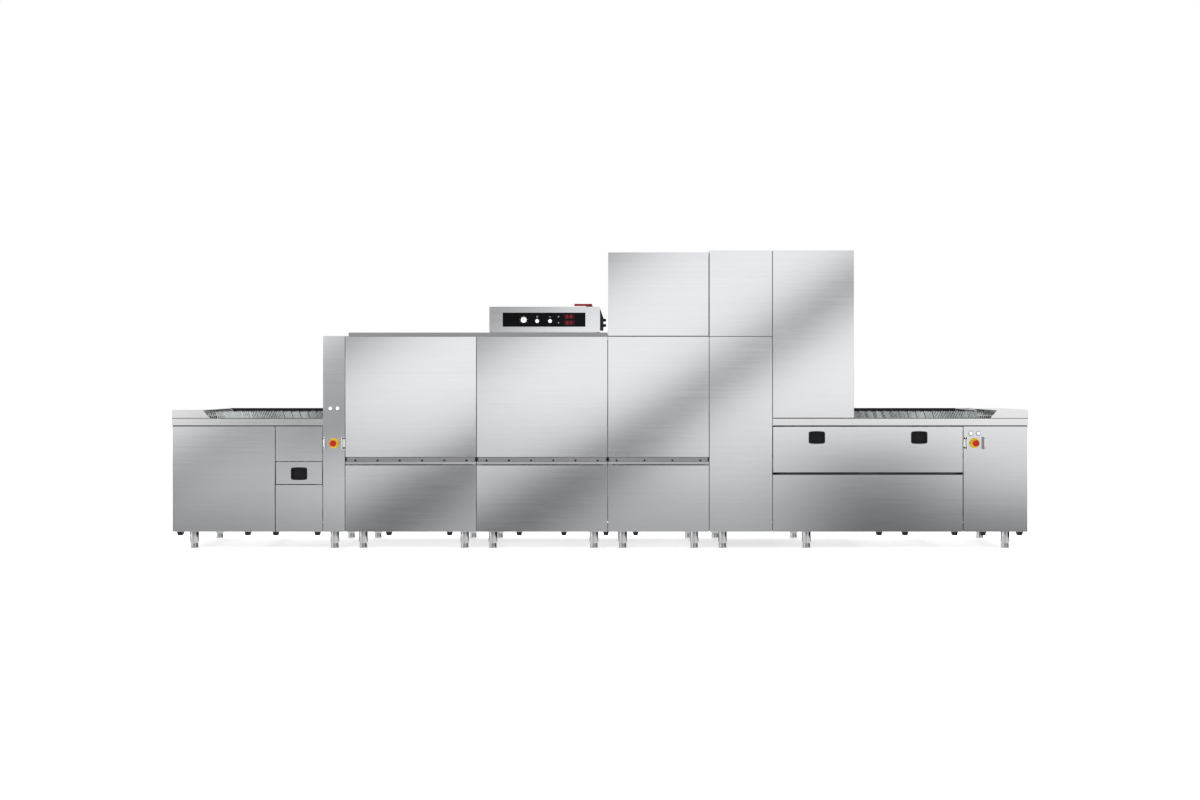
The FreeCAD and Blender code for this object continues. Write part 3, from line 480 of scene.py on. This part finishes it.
def moulded(name, colour, rough, grain=0.35, tone=0.10, sheen=0.5):
    """Moulded plastic or rubber: a fine pebble grain, slight clouding, rubbed patches."""
    made = bpy.data.materials.new(name)
    made.use_nodes = True
    made.node_tree.nodes.clear()
    wire = Wire(made.node_tree)
    place = wire.node("ShaderNodeTexCoord", output="Object")
    pebble = wire.node("ShaderNodeTexNoise", {}, {
        "Vector": place, "Scale": 900.0, "Detail": 2.0, "Roughness": 0.6}, "Fac")
    cloud = wire.node("ShaderNodeTexNoise", {}, {
        "Vector": place, "Scale": 34.0, "Detail": 5.0, "Roughness": 0.6}, "Fac")
    rubbed = wire.node("ShaderNodeTexNoise", {}, {
        "Vector": place, "Scale": 11.0, "Detail": 3.0, "Roughness": 0.55}, "Fac").ramp(0.48, 0.70)
    light = 1.0 + (cloud - 0.5) * tone * 2.0 + rubbed * tone
    base = wire.node("ShaderNodeVectorMath", {"operation": "SCALE"},
                     {0: colour, "Scale": light}, "Vector")
    roughness = rough + (cloud - 0.5) * 0.12 - rubbed * 0.06
    relief = wire.node("ShaderNodeBump", {}, {
        "Strength": grain, "Distance": 0.00025, "Height": pebble}, "Normal")
    body = wire.node("ShaderNodeBsdfPrincipled", {}, {
        "Base Color": base, "Roughness": roughness, "Normal": relief,
        "Specular IOR Level": sheen}, "BSDF")
    wire.node("ShaderNodeOutputMaterial", {}, {"Surface": body})
    return made


# The screw heads are near black, which also paints the shadow each one throws.
dark_screw = steel("screw_with_painted_shadow", (0.018, 0.018, 0.020), 0.30, 0.3, 0.2)
rubber = moulded("buffer_rubber", (0.012, 0.012, 0.013), 0.55, sheen=0.15)
screw = [(0.0, 0.0010), (0.0016, 0.0010), (0.0019, 0.0026), (0.0036, 0.0030), (0.0045, 0.0018),
         (0.0046, 0.0009), (0.0066, 0.0008), (0.0070, 0.0)]
one = bmesh.new()
turned(one, screw, (0, 0, 0), (0, -1, 0), steps=12)
door_modules = ((-1.708, -0.828, 6, 0.149), (-0.828, 0.052, 6, 0.149), (0.052, 0.732, 4, 0.187))
places = []
for start, end, count, spacing in door_modules:
    middle = (start + end) / 2
    for i in range(count):
        places.append(Vector((middle + spacing * (i - (count - 1) / 2), -0.442, 0.594)))
screws = own(pattern("sill_screws", one, places), "sill_screw_heads", dark_screw,
             "cabinet")
smooth(screws)
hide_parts("sill_screws")
buffers = bmesh.new()
for start, end, _, _ in door_modules:
    for left in (start + 0.003, end - 0.010):
        slab(buffers, (left, -0.4496, 0.5886), (left + 0.007, -0.4421, 0.6142), 0.001)
own(buffers, "sill_buffers", rubber, "cabinet")

# ---- Joint strips -----------------------------------------------------------
# Black strips of the buffers' rubber lie in the joints: under both table rims,
# along the tables' top edges, behind the flap's hinge, and between the casings
# over the tunnel. Those at the table rims and between the casings are painted
# shade in the gaps.
seals = bmesh.new()
for start, end, ease in (
        ((-2.864, -0.4465, 0.8223), (-1.862, -0.4300, 0.8287), 0.0008),
        ((1.162, -0.4465, 0.8223), (2.864, -0.4300, 0.8287), 0.0008),
        ((-2.867, -0.4506, 0.8742), (-1.860, -0.4400, 0.8782), 0.0008),
        ((1.162, -0.4506, 0.8742), (2.867, -0.4400, 0.8782), 0.0008),
        ((0.7308, -0.4262, 1.4330), (0.7400, -0.4240, 1.9895), 0.0006),
        ((0.7360, -0.4505, 1.4250), (1.1520, -0.4490, 1.4270), 0.0003),
        ((1.162, -0.4205, 0.4600), (2.430, -0.4185, 0.5600), 0.0004)):
    slab(seals, start, end, ease)
own(seals, "joint_shade_strips", rubber, "cabinet")

# ---- Pull cups --------------------------------------------------------------
# Black moulded cups pressed into the drawer and the flap. The flange swells
# towards its middle, and a lip inside the top gives the fingers a grip.
cup_plastic = moulded("cup_plastic", (0.008, 0.008, 0.009), 0.36, grain=0.5, sheen=0.12)


def pull(node, body, centres):
    """The cups of one node, each with its lip and three ribs on the back wall."""
    cups = folded(node, body, cup_plastic, edge=0.0012)
    shape = bmesh.new()
    shape.from_mesh(cups.data)
    long_edges = [e for e in shape.edges
                  if e.calc_length() > 0.04 and abs(e.verts[0].co.z - e.verts[1].co.z) < 0.001]
    bmesh.ops.subdivide_edges(shape, edges=long_edges, cuts=8)
    for corner in shape.verts:
        middle = min(centres, key=lambda c: abs(corner.co.x - c[0]))
        across = (corner.co.x - middle[0]) / 0.055
        corner.co.z = middle[1] + (corner.co.z - middle[1]) * (1.0 - 0.085 * across * across)
    for x, z in centres:
        slab(shape, (x - 0.046, -0.4512, z + 0.0255), (x + 0.046, -0.4370, z + 0.0315), 0.0015)
        for rib in (-0.020, -0.008, 0.004):
            slab(shape, (x - 0.040, -0.4345, z + rib), (x + 0.040, -0.4320, z + rib + 0.003), 0.0008)
    shape.to_mesh(cups.data)
    shape.free()


pull("drawer_pull", "drawer", [(-2.0165, 0.506)])
pull("flap_pulls", "flap", [(1.453, 0.748), (2.139, 0.748)])

# ---- Push buttons -----------------------------------------------------------
# White moulded caps with an eased rim and a shallow dish for the fingertip. A
# threaded ring holds each one: steel in the sheet, black plastic in the glass.
button_white = moulded("button_white", (0.62, 0.62, 0.61), 0.24, grain=0.08, tone=0.03, sheen=0.3)
ring_steel = steel("button_ring", (0.32, 0.32, 0.33), 0.16, 0.2, 0.1)
sheet_face = -0.450
glass_face = -0.403
buttons = (("entry_button_left", -1.806, 0.943, sheet_face, 0.008),
           ("entry_button_right", -1.758, 0.943, sheet_face, 0.008),
           ("exit_button_left", 2.485, 0.776, sheet_face, 0.008),
           ("exit_button_right", 2.535, 0.776, sheet_face, 0.008),
           ("panel_button_left", -0.423, 1.530, glass_face, 0.005),
           ("panel_button_right", -0.336, 1.530, glass_face, 0.005))
rings = bmesh.new()
for node, x, z, face, proud in buttons:
    cap = bmesh.new()
    turned(cap, [(0.0, proud - 0.0012), (0.0070, proud - 0.0009), (0.0095, proud - 0.0002),
                 (0.0110, proud), (0.0120, proud - 0.0005), (0.0125, proud - 0.0016),
                 (0.0125, -0.012), (0.0, -0.012)], (x, face, z), (0, -1, 0))
    cap = own(cap, node + "_cap", button_white, node)
    smooth(cap)
    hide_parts(node)
    turned(rings, [(0.0130, 0.0), (0.0130, 0.0022), (0.0137, 0.0028), (0.0152, 0.0026),
                   (0.0165, 0.0016), (0.0170, 0.0)], (x, face, z), (0, -1, 0))
rings = own(rings, "button_rings", ring_steel, "cabinet")
smooth(rings)
rings.data.materials.append(cup_plastic)
for face in rings.data.polygons:
    if face.center.z > 1.4:
        face.material_index = 1

# ---- Emergency stops --------------------------------------------------------
# A red mushroom head on a yellow collar, one at each end of the machine, and a
# pair of angle plates that keep trays off it.
stop_red = moulded("stop_red", (0.29, 0.005, 0.002), 0.28, grain=0.10, tone=0.06, sheen=0.25)
stop_yellow = moulded("stop_yellow", (0.52, 0.34, 0.006), 0.34, grain=0.15, tone=0.05, sheen=0.2)
collars = bmesh.new()
stops = (("entry_stop_head", "entry_stop", -1.782, 0.710),
         ("exit_stop_head", "exit_stop", 2.509, 0.711))
for node, body, x, z in stops:
    head = bmesh.new()
    turned(head, [(0.0, 0.0590), (0.0060, 0.0588), (0.0120, 0.0580), (0.0160, 0.0567),
                  (0.0190, 0.0545), (0.0208, 0.0515), (0.0215, 0.0480), (0.0215, 0.0425),
                  (0.0206, 0.0400), (0.0170, 0.0355), (0.0148, 0.0325), (0.0110, 0.0270),
                  (0.0110, -0.010), (0.0, -0.010)], (x, sheet_face, z), (0, -1, 0), steps=48)
    for turn_by in (0.5, 2.6, 4.7):
        slab(head, (-0.0012, -0.0008, -0.0045), (0.0012, 0.0008, 0.0045), 0.0005)
        mark = [corner for corner in head.verts if corner.co.length < 0.01]
        spot = Matrix.Translation((x, -0.5072, z)) @ Matrix.Rotation(turn_by, 4, "Y")
        bmesh.ops.transform(head, matrix=spot @ Matrix.Translation((0.0115, 0, 0)), verts=mark)
    head = own(head, node + "_mushroom", stop_red, body)
    smooth(head, 40)
    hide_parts(node)
    turned(collars, [(0.0116, 0.0), (0.0116, 0.0078), (0.0150, 0.0080), (0.0285, 0.0080),
                     (0.0310, 0.0074), (0.0335, 0.0030), (0.0345, 0.0004), (0.0345, 0.0)],
           (x, sheet_face, z), (0, -1, 0), steps=48)
collars = own(collars, "stop_collar_rings", stop_yellow, "cabinet")
smooth(collars)
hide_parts("stop_collars")
guards = folded("stop_guards", "cabinet", ring_steel, edge=0.0006)
# The plates' front edges are pale: a painted highlight. Their other faces keep the ring steel.
guard_white = moulded("guard_front_painted_highlight", (0.60, 0.60, 0.58), 0.40, grain=0.2, tone=0.03, sheen=0.3)
guards.data.materials.append(guard_white)
for face in guards.data.polygons:
    if face.normal.y < -0.7:
        face.material_index = 1
one = bmesh.new()
turned(one, [(radius * 0.9, height) for radius, height in screw], (0, 0, 0), (0, -1, 0), steps=12)
guard_screws = pattern("guard_screws", one, [
    Vector((x + side * 0.0675, -0.453, z + up * 0.032))
    for _, _, x, z in stops for side in (-1, 1) for up in (-1, 1)])
smooth(own(guard_screws, "guard_screws", dark_screw, "cabinet"))

# ---- Control panel ----------------------------------------------------------
# A dark glass front bonded to the box, with two red readouts and two lamps
# behind it, a program knob and two keys that pass through it.
glass = moulded("panel_glass", (0.002, 0.002, 0.0024), 0.08, grain=0.0, tone=0.05, sheen=0.07)
folded("control_glass", "cabinet", glass, edge=0.0008)


def glowing(name, colour, strength):
    """A lit mark behind the glass, a little uneven from one end to the other."""
    made = bpy.data.materials.new(name)
    made.use_nodes = True
    made.node_tree.nodes.clear()
    wire = Wire(made.node_tree)
    place = wire.node("ShaderNodeTexCoord", output="Object")
    patch = wire.node("ShaderNodeTexNoise", {}, {
        "Vector": place, "Scale": 160.0, "Detail": 2.0}, "Fac")
    shine = wire.node("ShaderNodeVectorMath", {"operation": "SCALE"},
                      {0: colour, "Scale": 0.7 + patch * 0.6}, "Vector")
    body = wire.node("ShaderNodeBsdfPrincipled", {}, {
        "Base Color": (*[part * 0.12 for part in colour], 1.0), "Roughness": 0.4,
        "Emission Color": shine, "Emission Strength": strength}, "BSDF")
    wire.node("ShaderNodeOutputMaterial", {}, {"Surface": body})
    return made


window_red = moulded("readout_window", (0.030, 0.003, 0.006), 0.12, grain=0.0, tone=0.1, sheen=0.07)
windows = bmesh.new()
digits = bmesh.new()
segments = {"8": "abcdefg", "5": "acdfg", "6": "acdefg", "0": "abcdef", "2": "abdeg"}
for readout, z in (("65", 1.5605), ("82", 1.5190)):
    slab(windows, (-0.242, -0.4033, z - 0.0145), (-0.172, -0.4028, z + 0.0145), 0.0002, 1)
    for i, number in enumerate(readout):
        x = -0.226 + i * 0.026
        for part in segments[number]:
            if part in "adg":
                up = {"a": 0.0100, "g": 0.0, "d": -0.0100}[part]
                low_corner, high_corner = (x, z + up - 0.0012), (x + 0.0105, z + up + 0.0012)
            else:
                left = x - 0.0018 if part in "ef" else x + 0.0099
                down = 0.0005 if part in "bf" else -0.0095
                low_corner, high_corner = (left, z + down), (left + 0.0024, z + down + 0.0090)
            slab(digits, (low_corner[0], -0.4036, low_corner[1]),
                 (high_corner[0], -0.4032, high_corner[1]))
own(windows, "readout_windows", window_red, "cabinet")
own(digits, "readout_digits", glowing("readout_red", (1.0, 0.035, 0.07), 0.16), "cabinet")
lamps = bmesh.new()
for z in (1.5600, 1.5190):
    turned(lamps, [(0.0, 0.0008), (0.0030, 0.0006), (0.0042, 0.0001)], (-0.279, glass_face, z),
           (0, -1, 0), steps=16)
smooth(own(lamps, "panel_lamps", glowing("lamp_white", (0.85, 0.9, 0.88), 0.30), "cabinet"))
signs = bmesh.new()
turned(signs, [(0.0060, 0.0), (0.0060, 0.0003), (0.0068, 0.0003), (0.0068, 0.0)],
       (-0.423, glass_face, 1.5590), (0, -1, 0), steps=24)
slab(signs, (-0.4236, -0.4033, 1.5575), (-0.4224, -0.4030, 1.5670))
slab(signs, (-0.3430, -0.4033, 1.5595), (-0.3290, -0.4030, 1.5603))
slab(signs, (-0.3400, -0.4033, 1.5550), (-0.3320, -0.4030, 1.5558))
slab(signs, (-0.3364, -0.4033, 1.5550), (-0.3356, -0.4030, 1.5640))
dial_x = -0.513
dial_z = 1.538
tick_ring = 0.0262
for i in range(7):
    angle = radians(-120 + 40 * i)
    spot = Vector((dial_x + tick_ring * sin(angle), glass_face, dial_z + tick_ring * cos(angle)))
    turned(signs, [(0.0, 0.0003), (0.0011, 0.0003), (0.0012, 0.0)], spot, (0, -1, 0), steps=10)
sign_grey = moulded("sign_grey", (0.42, 0.43, 0.43), 0.4, grain=0.0, tone=0.05)
own(signs, "panel_signs", sign_grey, "cabinet")

knob = bmesh.new()
turned(knob, [(0.0, 0.0120), (0.0150, 0.0122), (0.0172, 0.0134), (0.0186, 0.0132),
              (0.0190, 0.0110), (0.0192, 0.0040), (0.0198, 0.0022), (0.0199, 0.0004),
              (0.0080, 0.0004), (0.0080, -0.0140), (0.0, -0.0140)],
       (dial_x, glass_face, dial_z), (0, -1, 0), steps=60)
for corner in knob.verts:
    away = Vector((corner.co.x - dial_x, 0, corner.co.z - dial_z))
    out = glass_face - corner.co.y
    if away.length > 0.0185 and 0.0035 < out < 0.0125:
        ripple = 1.0 - 0.035 * (0.5 + 0.5 * cos(20 * Vector((0, 1)).angle_signed(
            Vector((away.x, away.z)), 0.0)))
        corner.co.x = dial_x + away.x * ripple
        corner.co.z = dial_z + away.z * ripple
knob = own(knob, "program_dial", button_white, "program_knob")
smooth(knob, 28)
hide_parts("program_knob")
# A raised ridge on the knob's face, coloured black: a painted shade for the ridge's shadow.
pointer = bmesh.new()
slab(pointer, (-0.5141, -0.4172, 1.5385), (-0.5119, -0.4148, 1.5550), 0.0004)
own(pointer, "program_ridge_painted_shade", cup_plastic, "program_knob")

# ---- Isolator and end housing -----------------------------------------------
# The main switch: a red bar handle on a black wedge base, a cable housing on
# the end of the box, and two glands where its cables come out.
switch_black = moulded("switch_black", (0.008, 0.008, 0.009), 0.38, grain=0.4, sheen=0.12)
folded("control_box_fittings", "cabinet", switch_black, edge=0.0015)
caps = bmesh.new()
for z in (1.538, 1.502):
    turned(caps, [(0.0052, 0.0165), (0.0085, 0.0165), (0.0098, 0.0140), (0.0098, 0.0060),
                  (0.0112, 0.0055), (0.0112, 0.0), (0.0052, 0.0)], (0.0232, -0.360, z),
           (1, 0, 0), steps=12)
own(caps, "gland_caps", switch_black, "cabinet")
isolator_red = moulded("isolator_red", (0.20, 0.006, 0.005), 0.32, grain=0.15, tone=0.06, sheen=0.2)
folded("isolator_handle", "isolator", isolator_red, edge=0.0022)
grips = bmesh.new()
for i in range(5):
    slab(grips, (-0.166 + i * 0.007, -0.2985, 1.6506), (-0.1625 + i * 0.007, -0.2815, 1.6518),
         0.0005)
own(grips, "isolator_grips", isolator_red, "isolator")

# ---- Limit bar --------------------------------------------------------------
# A bright round bar across the end of the belt. A dish that nobody takes off
# pushes it, and it stops the belt.
folded("limit_bar", "limit_bar", ring_steel, edge=0.0005)

# ---- Belt -------------------------------------------------------------------
# Moulded rows that hook one to the next. Each has ten tapered fingers leaning
# back on a cross bar, and a side link with a steel pin at each end.
belt_grey = moulded("belt_grey", (0.50, 0.52, 0.52), 0.42, grain=0.2, tone=0.14)


def belt_row(shape):
    """One row at its chain pin: bar, fingers, links and pin heads."""
    slab(shape, (-0.0029, -0.284, -0.005), (0.0029, 0.284, 0.005))
    for i in range(10):
        y = -0.284 + (i + 0.5) * 0.0568
        finger = slab(shape, (-0.0029, y - 0.005, 0.005), (0.0029, y + 0.005, 0.1155))
        tips = [corner for corner in finger if corner.co.z > 0.1]
        bmesh.ops.scale(shape, vec=(0.72, 0.52, 1), verts=tips,
                        space=Matrix.Translation((0, -y, 0)))
        uprights = [edge for corner in tips for edge in corner.link_edges
                    if abs(edge.verts[0].co.z - edge.verts[1].co.z) > 0.05]
        bmesh.ops.bevel(shape, geom=uprights, offset=0.0012, segments=1, profile=0.5,
                        affect="EDGES", material=-1, clamp_overlap=True)
    bmesh.ops.rotate(shape, verts=shape.verts[:], cent=(0, 0, 0),
                     matrix=Matrix.Rotation(radians(-18), 3, "Y"))
    for side in (-1, 1):
        slab(shape, (-0.025, side * 0.290 - 0.006, -0.010), (0.025, side * 0.290 + 0.006, 0.010),
             0.003, 1)
        for x in (-0.018, 0.018):
            slab(shape, (x - 0.004, side * 0.2963 - 0.0006, -0.004),
                 (x + 0.004, side * 0.2963 + 0.0006, 0.004), 0.0005, 1)


def belt(node, body, places):
    """The rows of one strand, standing in for its CAD node."""
    one = bmesh.new()
    belt_row(one)
    rows = own(pattern(node, one, places), node + "_moulded", belt_grey, body)
    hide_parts(node)


def row_place(x, z, turn_by):
    return Matrix.Translation((x, 0, z)) @ Matrix.Rotation(turn_by, 4, "Y")


row_pitch = 0.058
shaft_x = 2.639
shaft_z = 0.71369
wheel = 0.09231
strand_top = 0.806
strand_low = 0.62138
strand = [-shaft_x + row_pitch * i for i in range(92)]
belt("belt_rows_loading", "belt_upper", [row_place(x, strand_top, 0) for x in strand[:14]])
belt("belt_rows_tunnel", "belt_upper", [row_place(x, strand_top, 0) for x in strand[14:78]])
belt("belt_rows_unloading", "belt_upper", [row_place(x, strand_top, 0) for x in strand[78:]])
belt("belt_rows_return", "belt_return", [row_place(x, strand_low, pi) for x in strand])
for node, body, side in (("belt_turn_infeed", "idler", -1), ("belt_turn_outfeed", "drive", 1)):
    places = []
    for i in range(1, 5):
        angle = side * radians(36 * i)
        places.append(row_place(side * shaft_x + wheel * sin(angle),
                                shaft_z + wheel * cos(angle), angle))
    belt(node, body, places)

# ---- Shafts, bearings and gearmotor -----------------------------------------
# Two shafts with toothed wheels carry the belt round. Iron blocks hold them, and
# a finned motor on a gearbox turns the one at the unloading end.
shaft_steel = steel("ground_shaft", (0.52, 0.52, 0.53), 0.20, 0.2, 0.15)
folded("idler_shaft", "idler", shaft_steel, edge=0.0008)
folded("drive_shaft", "drive", shaft_steel, edge=0.0008)
cast_iron = moulded("cast_iron", (0.10, 0.105, 0.11), 0.62, grain=0.9, tone=0.3)
folded("shaft_bearings", "cabinet", cast_iron, edge=0.003)


def finned(shape, place, axis, radius, start, end, fins):
    """A motor body along an axis: cooling fins between two smooth end bells."""
    outline = [(0.0, start), (radius * 0.96, start), (radius, start + 0.004),
               (radius, start + 0.016)]
    first = start + 0.020
    step = (end - 0.045 - first) / fins
    for i in range(fins):
        at = first + i * step
        outline += [(radius * 0.90, at), (radius * 0.90, at + step * 0.55),
                    (radius * 0.995, at + step * 0.60), (radius * 0.995, at + step * 0.98)]
    outline += [(radius, end - 0.040), (radius, end - 0.006), (radius * 0.93, end), (0.0, end)]
    turned(shape, outline, place, axis, steps=32)


motor = bmesh.new()
slab(motor, (shaft_x - 0.060, 0.330, shaft_z - 0.075), (shaft_x + 0.060, 0.430, shaft_z + 0.035),
     0.008, 3)
finned(motor, (shaft_x, 0.380, shaft_z - 0.075), (0, 0, -1), 0.048, 0.0, 0.225, 16)
slab(motor, (shaft_x - 0.030, 0.336, shaft_z - 0.180), (shaft_x + 0.030, 0.350, shaft_z - 0.125),
     0.003)
for side in (-1, 1):
    for up in (-0.062, 0.022):
        turned(motor, [(0.0, 0.0048), (0.0050, 0.0048), (0.0060, 0.0038), (0.0060, 0.0)],
               (shaft_x + side * 0.047, 0.430, shaft_z + up), (0, 1, 0), steps=6)
pump_paint = moulded("pump_paint", (0.085, 0.13, 0.20), 0.42, grain=0.7, tone=0.12)
motor = own(motor, "gearmotor_finned", pump_paint, "cabinet")
smooth(motor)
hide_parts("gearmotor")

# ---- Wash pumps -------------------------------------------------------------
# One pump behind each tank: a cast volute with a finned motor on a foot, and a
# square outlet that leads up to the spray pipes.
pumps = bmesh.new()
pump_y = 0.220
pump_z = 0.290
for x in (-0.903, -0.023, 0.657):
    turned(pumps, [(0.0, 0.0), (0.060, 0.0), (0.066, -0.006), (0.078, -0.010), (0.085, -0.020),
                   (0.085, -0.044), (0.078, -0.054), (0.066, -0.058), (0.0, -0.060)],
           (x, pump_y, pump_z), (1, 0, 0), steps=40)
    finned(pumps, (x - 0.060, pump_y, pump_z), (-1, 0, 0), 0.065, 0.0, 0.200, 14)
    slab(pumps, (x - 0.230, 0.170, 0.170), (x - 0.030, 0.270, 0.184), 0.003)
    for start in (x - 0.215, x - 0.075):
        slab(pumps, (start, 0.180, 0.182), (start + 0.018, 0.260, 0.245), 0.003)
    slab(pumps, (x - 0.045, 0.220, 0.300), (x, 0.3349, 0.350), 0.004)
    slab(pumps, (x - 0.190, 0.195, 0.352), (x - 0.120, 0.245, 0.366), 0.004)
pumps = own(pumps, "pumps_cast", pump_paint, "cabinet")
smooth(pumps)
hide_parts("pumps")

# ---- Spray pipes ------------------------------------------------------------
# Square headers at the rear with round arms across the belt, above and below
# it. Each arm has a row of pressed nozzles that face the dishes.
paint("spray_arms", pickled_steel)
one = bmesh.new()
turned(one, [(0.0, 0.004), (0.0022, 0.004), (0.0030, 0.007), (0.0046, 0.006), (0.0058, 0.0),
             (0.0058, -0.002)], (0, 0, 0), (0, 0, 1), steps=8)
spray_modules = ((-1.708, (0.180, 0.420, 0.660), 0.016), (-0.828, (0.180, 0.420, 0.660), 0.016),
                 (0.052, (0.120, 0.420), 0.010))
places = []
for start, offsets, radius in spray_modules:
    for offset in offsets:
        for i in range(8):
            y = -0.235 + i * 0.070
            places.append(Matrix.Translation((start + offset, y, 0.715 + radius)))
            places.append(Matrix.Translation((start + offset, y, 1.350 - radius))
                          @ Matrix.Rotation(pi, 4, "X"))
smooth(own(pattern("nozzles", one, places), "spray_nozzles", button_white, "cabinet"))

# ---- Curtains ---------------------------------------------------------------
# Rows of rubber strips on steel bars keep the spray inside each zone. Every
# strip hangs free, so its lower end curls and swings a little out of line.
hanger_steel = steel("curtain_bar", (0.50, 0.50, 0.51), 0.25, 0.2, 0.1)
curtain_rubber = moulded("curtain_rubber", (0.085, 0.092, 0.10), 0.48, grain=0.3, tone=0.25)
curtain_x = (-1.692, -0.812, 0.068, 0.748, 1.545)
strip_top = 1.310
strip_length = 0.385
strip_width = 0.062
bars = bmesh.new()
for x in curtain_x:
    front, rear = (-0.4469, 0.4469) if x > 1.2 else (-0.3879, 0.3899)
    slab(bars, (x - 0.006, front, 1.310), (x + 0.006, rear, 1.322), 0.0012)
bars = own(bars, "curtain_bars", hanger_steel, "cabinet")
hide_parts("curtains")
for number, x in enumerate(curtain_x):
    strips = bmesh.new()
    for i in range(10):
        middle = -0.320 + (i + 0.5) * 0.064
        made = bmesh.ops.create_grid(strips, x_segments=4, y_segments=14, size=0.5)
        bmesh.ops.scale(strips, vec=(strip_width, strip_length, 1), verts=made["verts"])
        bmesh.ops.rotate(strips, verts=made["verts"], cent=(0, 0, 0),
                         matrix=Matrix.Rotation(pi / 2, 3, "X"))
        bmesh.ops.rotate(strips, verts=made["verts"], cent=(0, 0, 0),
                         matrix=Matrix.Rotation(pi / 2, 3, "Z"))
        bmesh.ops.translate(strips, verts=made["verts"], vec=(x, middle, 1.1175))
        for corner in made["verts"]:
            fallen = (strip_top - corner.co.z) / strip_length
            across = (corner.co.y - middle) * 2 / strip_width
            swing = 0.0045 * sin(i * 2.1 + number * 1.3) * fallen * fallen
            curl = 0.0035 * across * across * fallen * cos(i * 1.7 + number)
            ripple = 0.0010 * sin(fallen * 7.0 + i * 0.9)
            corner.co.x += swing + curl + ripple
    row = own(strips, "curtain_row_%d" % (number + 1), curtain_rubber, "cabinet")
    thick = row.modifiers.new("thickness", "SOLIDIFY")
    thick.thickness = 0.003
    thick.offset = 0
    smooth(row, 60)

# ---- Fan --------------------------------------------------------------------
# The dryer's fan draws moist air through a guard of wire rings and blows it out
# of the spigot. Galvanised sheet, with a bladed wheel on the motor's shaft.
fan_metal = steel("galvanised_fan", (0.42, 0.43, 0.44), 0.36, 0.2, 0.45)
folded("fan_housing", "cabinet", fan_metal, edge=0.0012)
folded("fan_wheel", "fan", fan_metal, edge=0.0004)
guard = bmesh.new()
fan_x = 0.944
fan_z = 1.700
for radius in (0.030, 0.050, 0.070, 0.088):
    turned(guard, [(radius + 0.0012 * cos(pi * i / 3), 0.0012 * sin(pi * i / 3))
                   for i in range(7)], (fan_x, -0.0625, fan_z), (0, -1, 0), steps=40)
for i in range(3):
    bar = slab(guard, (-0.094, -0.0012, -0.0012), (0.094, 0.0012, 0.0012))
    spot = Matrix.Translation((fan_x, -0.0613, fan_z)) @ Matrix.Rotation(pi * i / 3, 4, "Y")
    bmesh.ops.transform(guard, matrix=spot, verts=bar)
smooth(own(guard, "fan_guard", ring_steel, "cabinet"))

# ---- Service connections ----------------------------------------------------
# The water inlet and the drain leave through the back. The inlet has a pipe
# thread, and the drain has two ribs that hold a hose.
folded("service_stubs", "cabinet", shaft_steel, edge=0.0006)
threads = bmesh.new()
for i in range(12):
    y = 0.472 + i * 0.0029
    turned(threads, [(0.01305, y - 0.0012), (0.01325, y), (0.01305, y + 0.0012)],
           (-0.300, 0, 0.300), (0, 1, 0), steps=32)
for y in (0.4830, 0.4990):
    turned(threads, [(0.0248, y - 0.003), (0.0258, y + 0.001), (0.0248, y + 0.004)],
           (-0.560, 0, 0.230), (0, 1, 0), steps=32)
smooth(own(threads, "service_threads", shaft_steel, "cabinet"))

# ---- Fixings on the back ----------------------------------------------------
# Dome screws hold the rear sheets to their posts, so that a fitter can take a
# sheet off to reach the pumps.
one = bmesh.new()
turned(one, [(0.0, 0.0030), (0.0030, 0.0028), (0.0055, 0.0018), (0.0065, 0.0), (0.0065, -0.0005)],
       (0, 0, 0), (0, 1, 0), steps=12)
rear_face = 0.450
places = []
for start, end, top in ((-2.868, -1.858, 0.822), (-1.858, -0.828, 1.426), (-0.828, 0.052, 1.426),
                        (0.052, 0.732, 1.426), (0.732, 1.156, 1.426), (1.156, 2.868, 0.822)):
    rows = 3 if top < 1.0 else 5
    for i in range(rows):
        z = 0.145 + (top - 0.175) * i / (rows - 1)
        for x in (start + 0.020, end - 0.020):
            places.append(Vector((x, rear_face, z)))
    for x in ((start * 2 + end) / 3, (start + end * 2) / 3):
        places.append(Vector((x, rear_face, 0.145)))
        places.append(Vector((x, rear_face, top - 0.030)))
smooth(own(pattern("rear_screws", one, places), "rear_screws", ring_steel, "cabinet"))
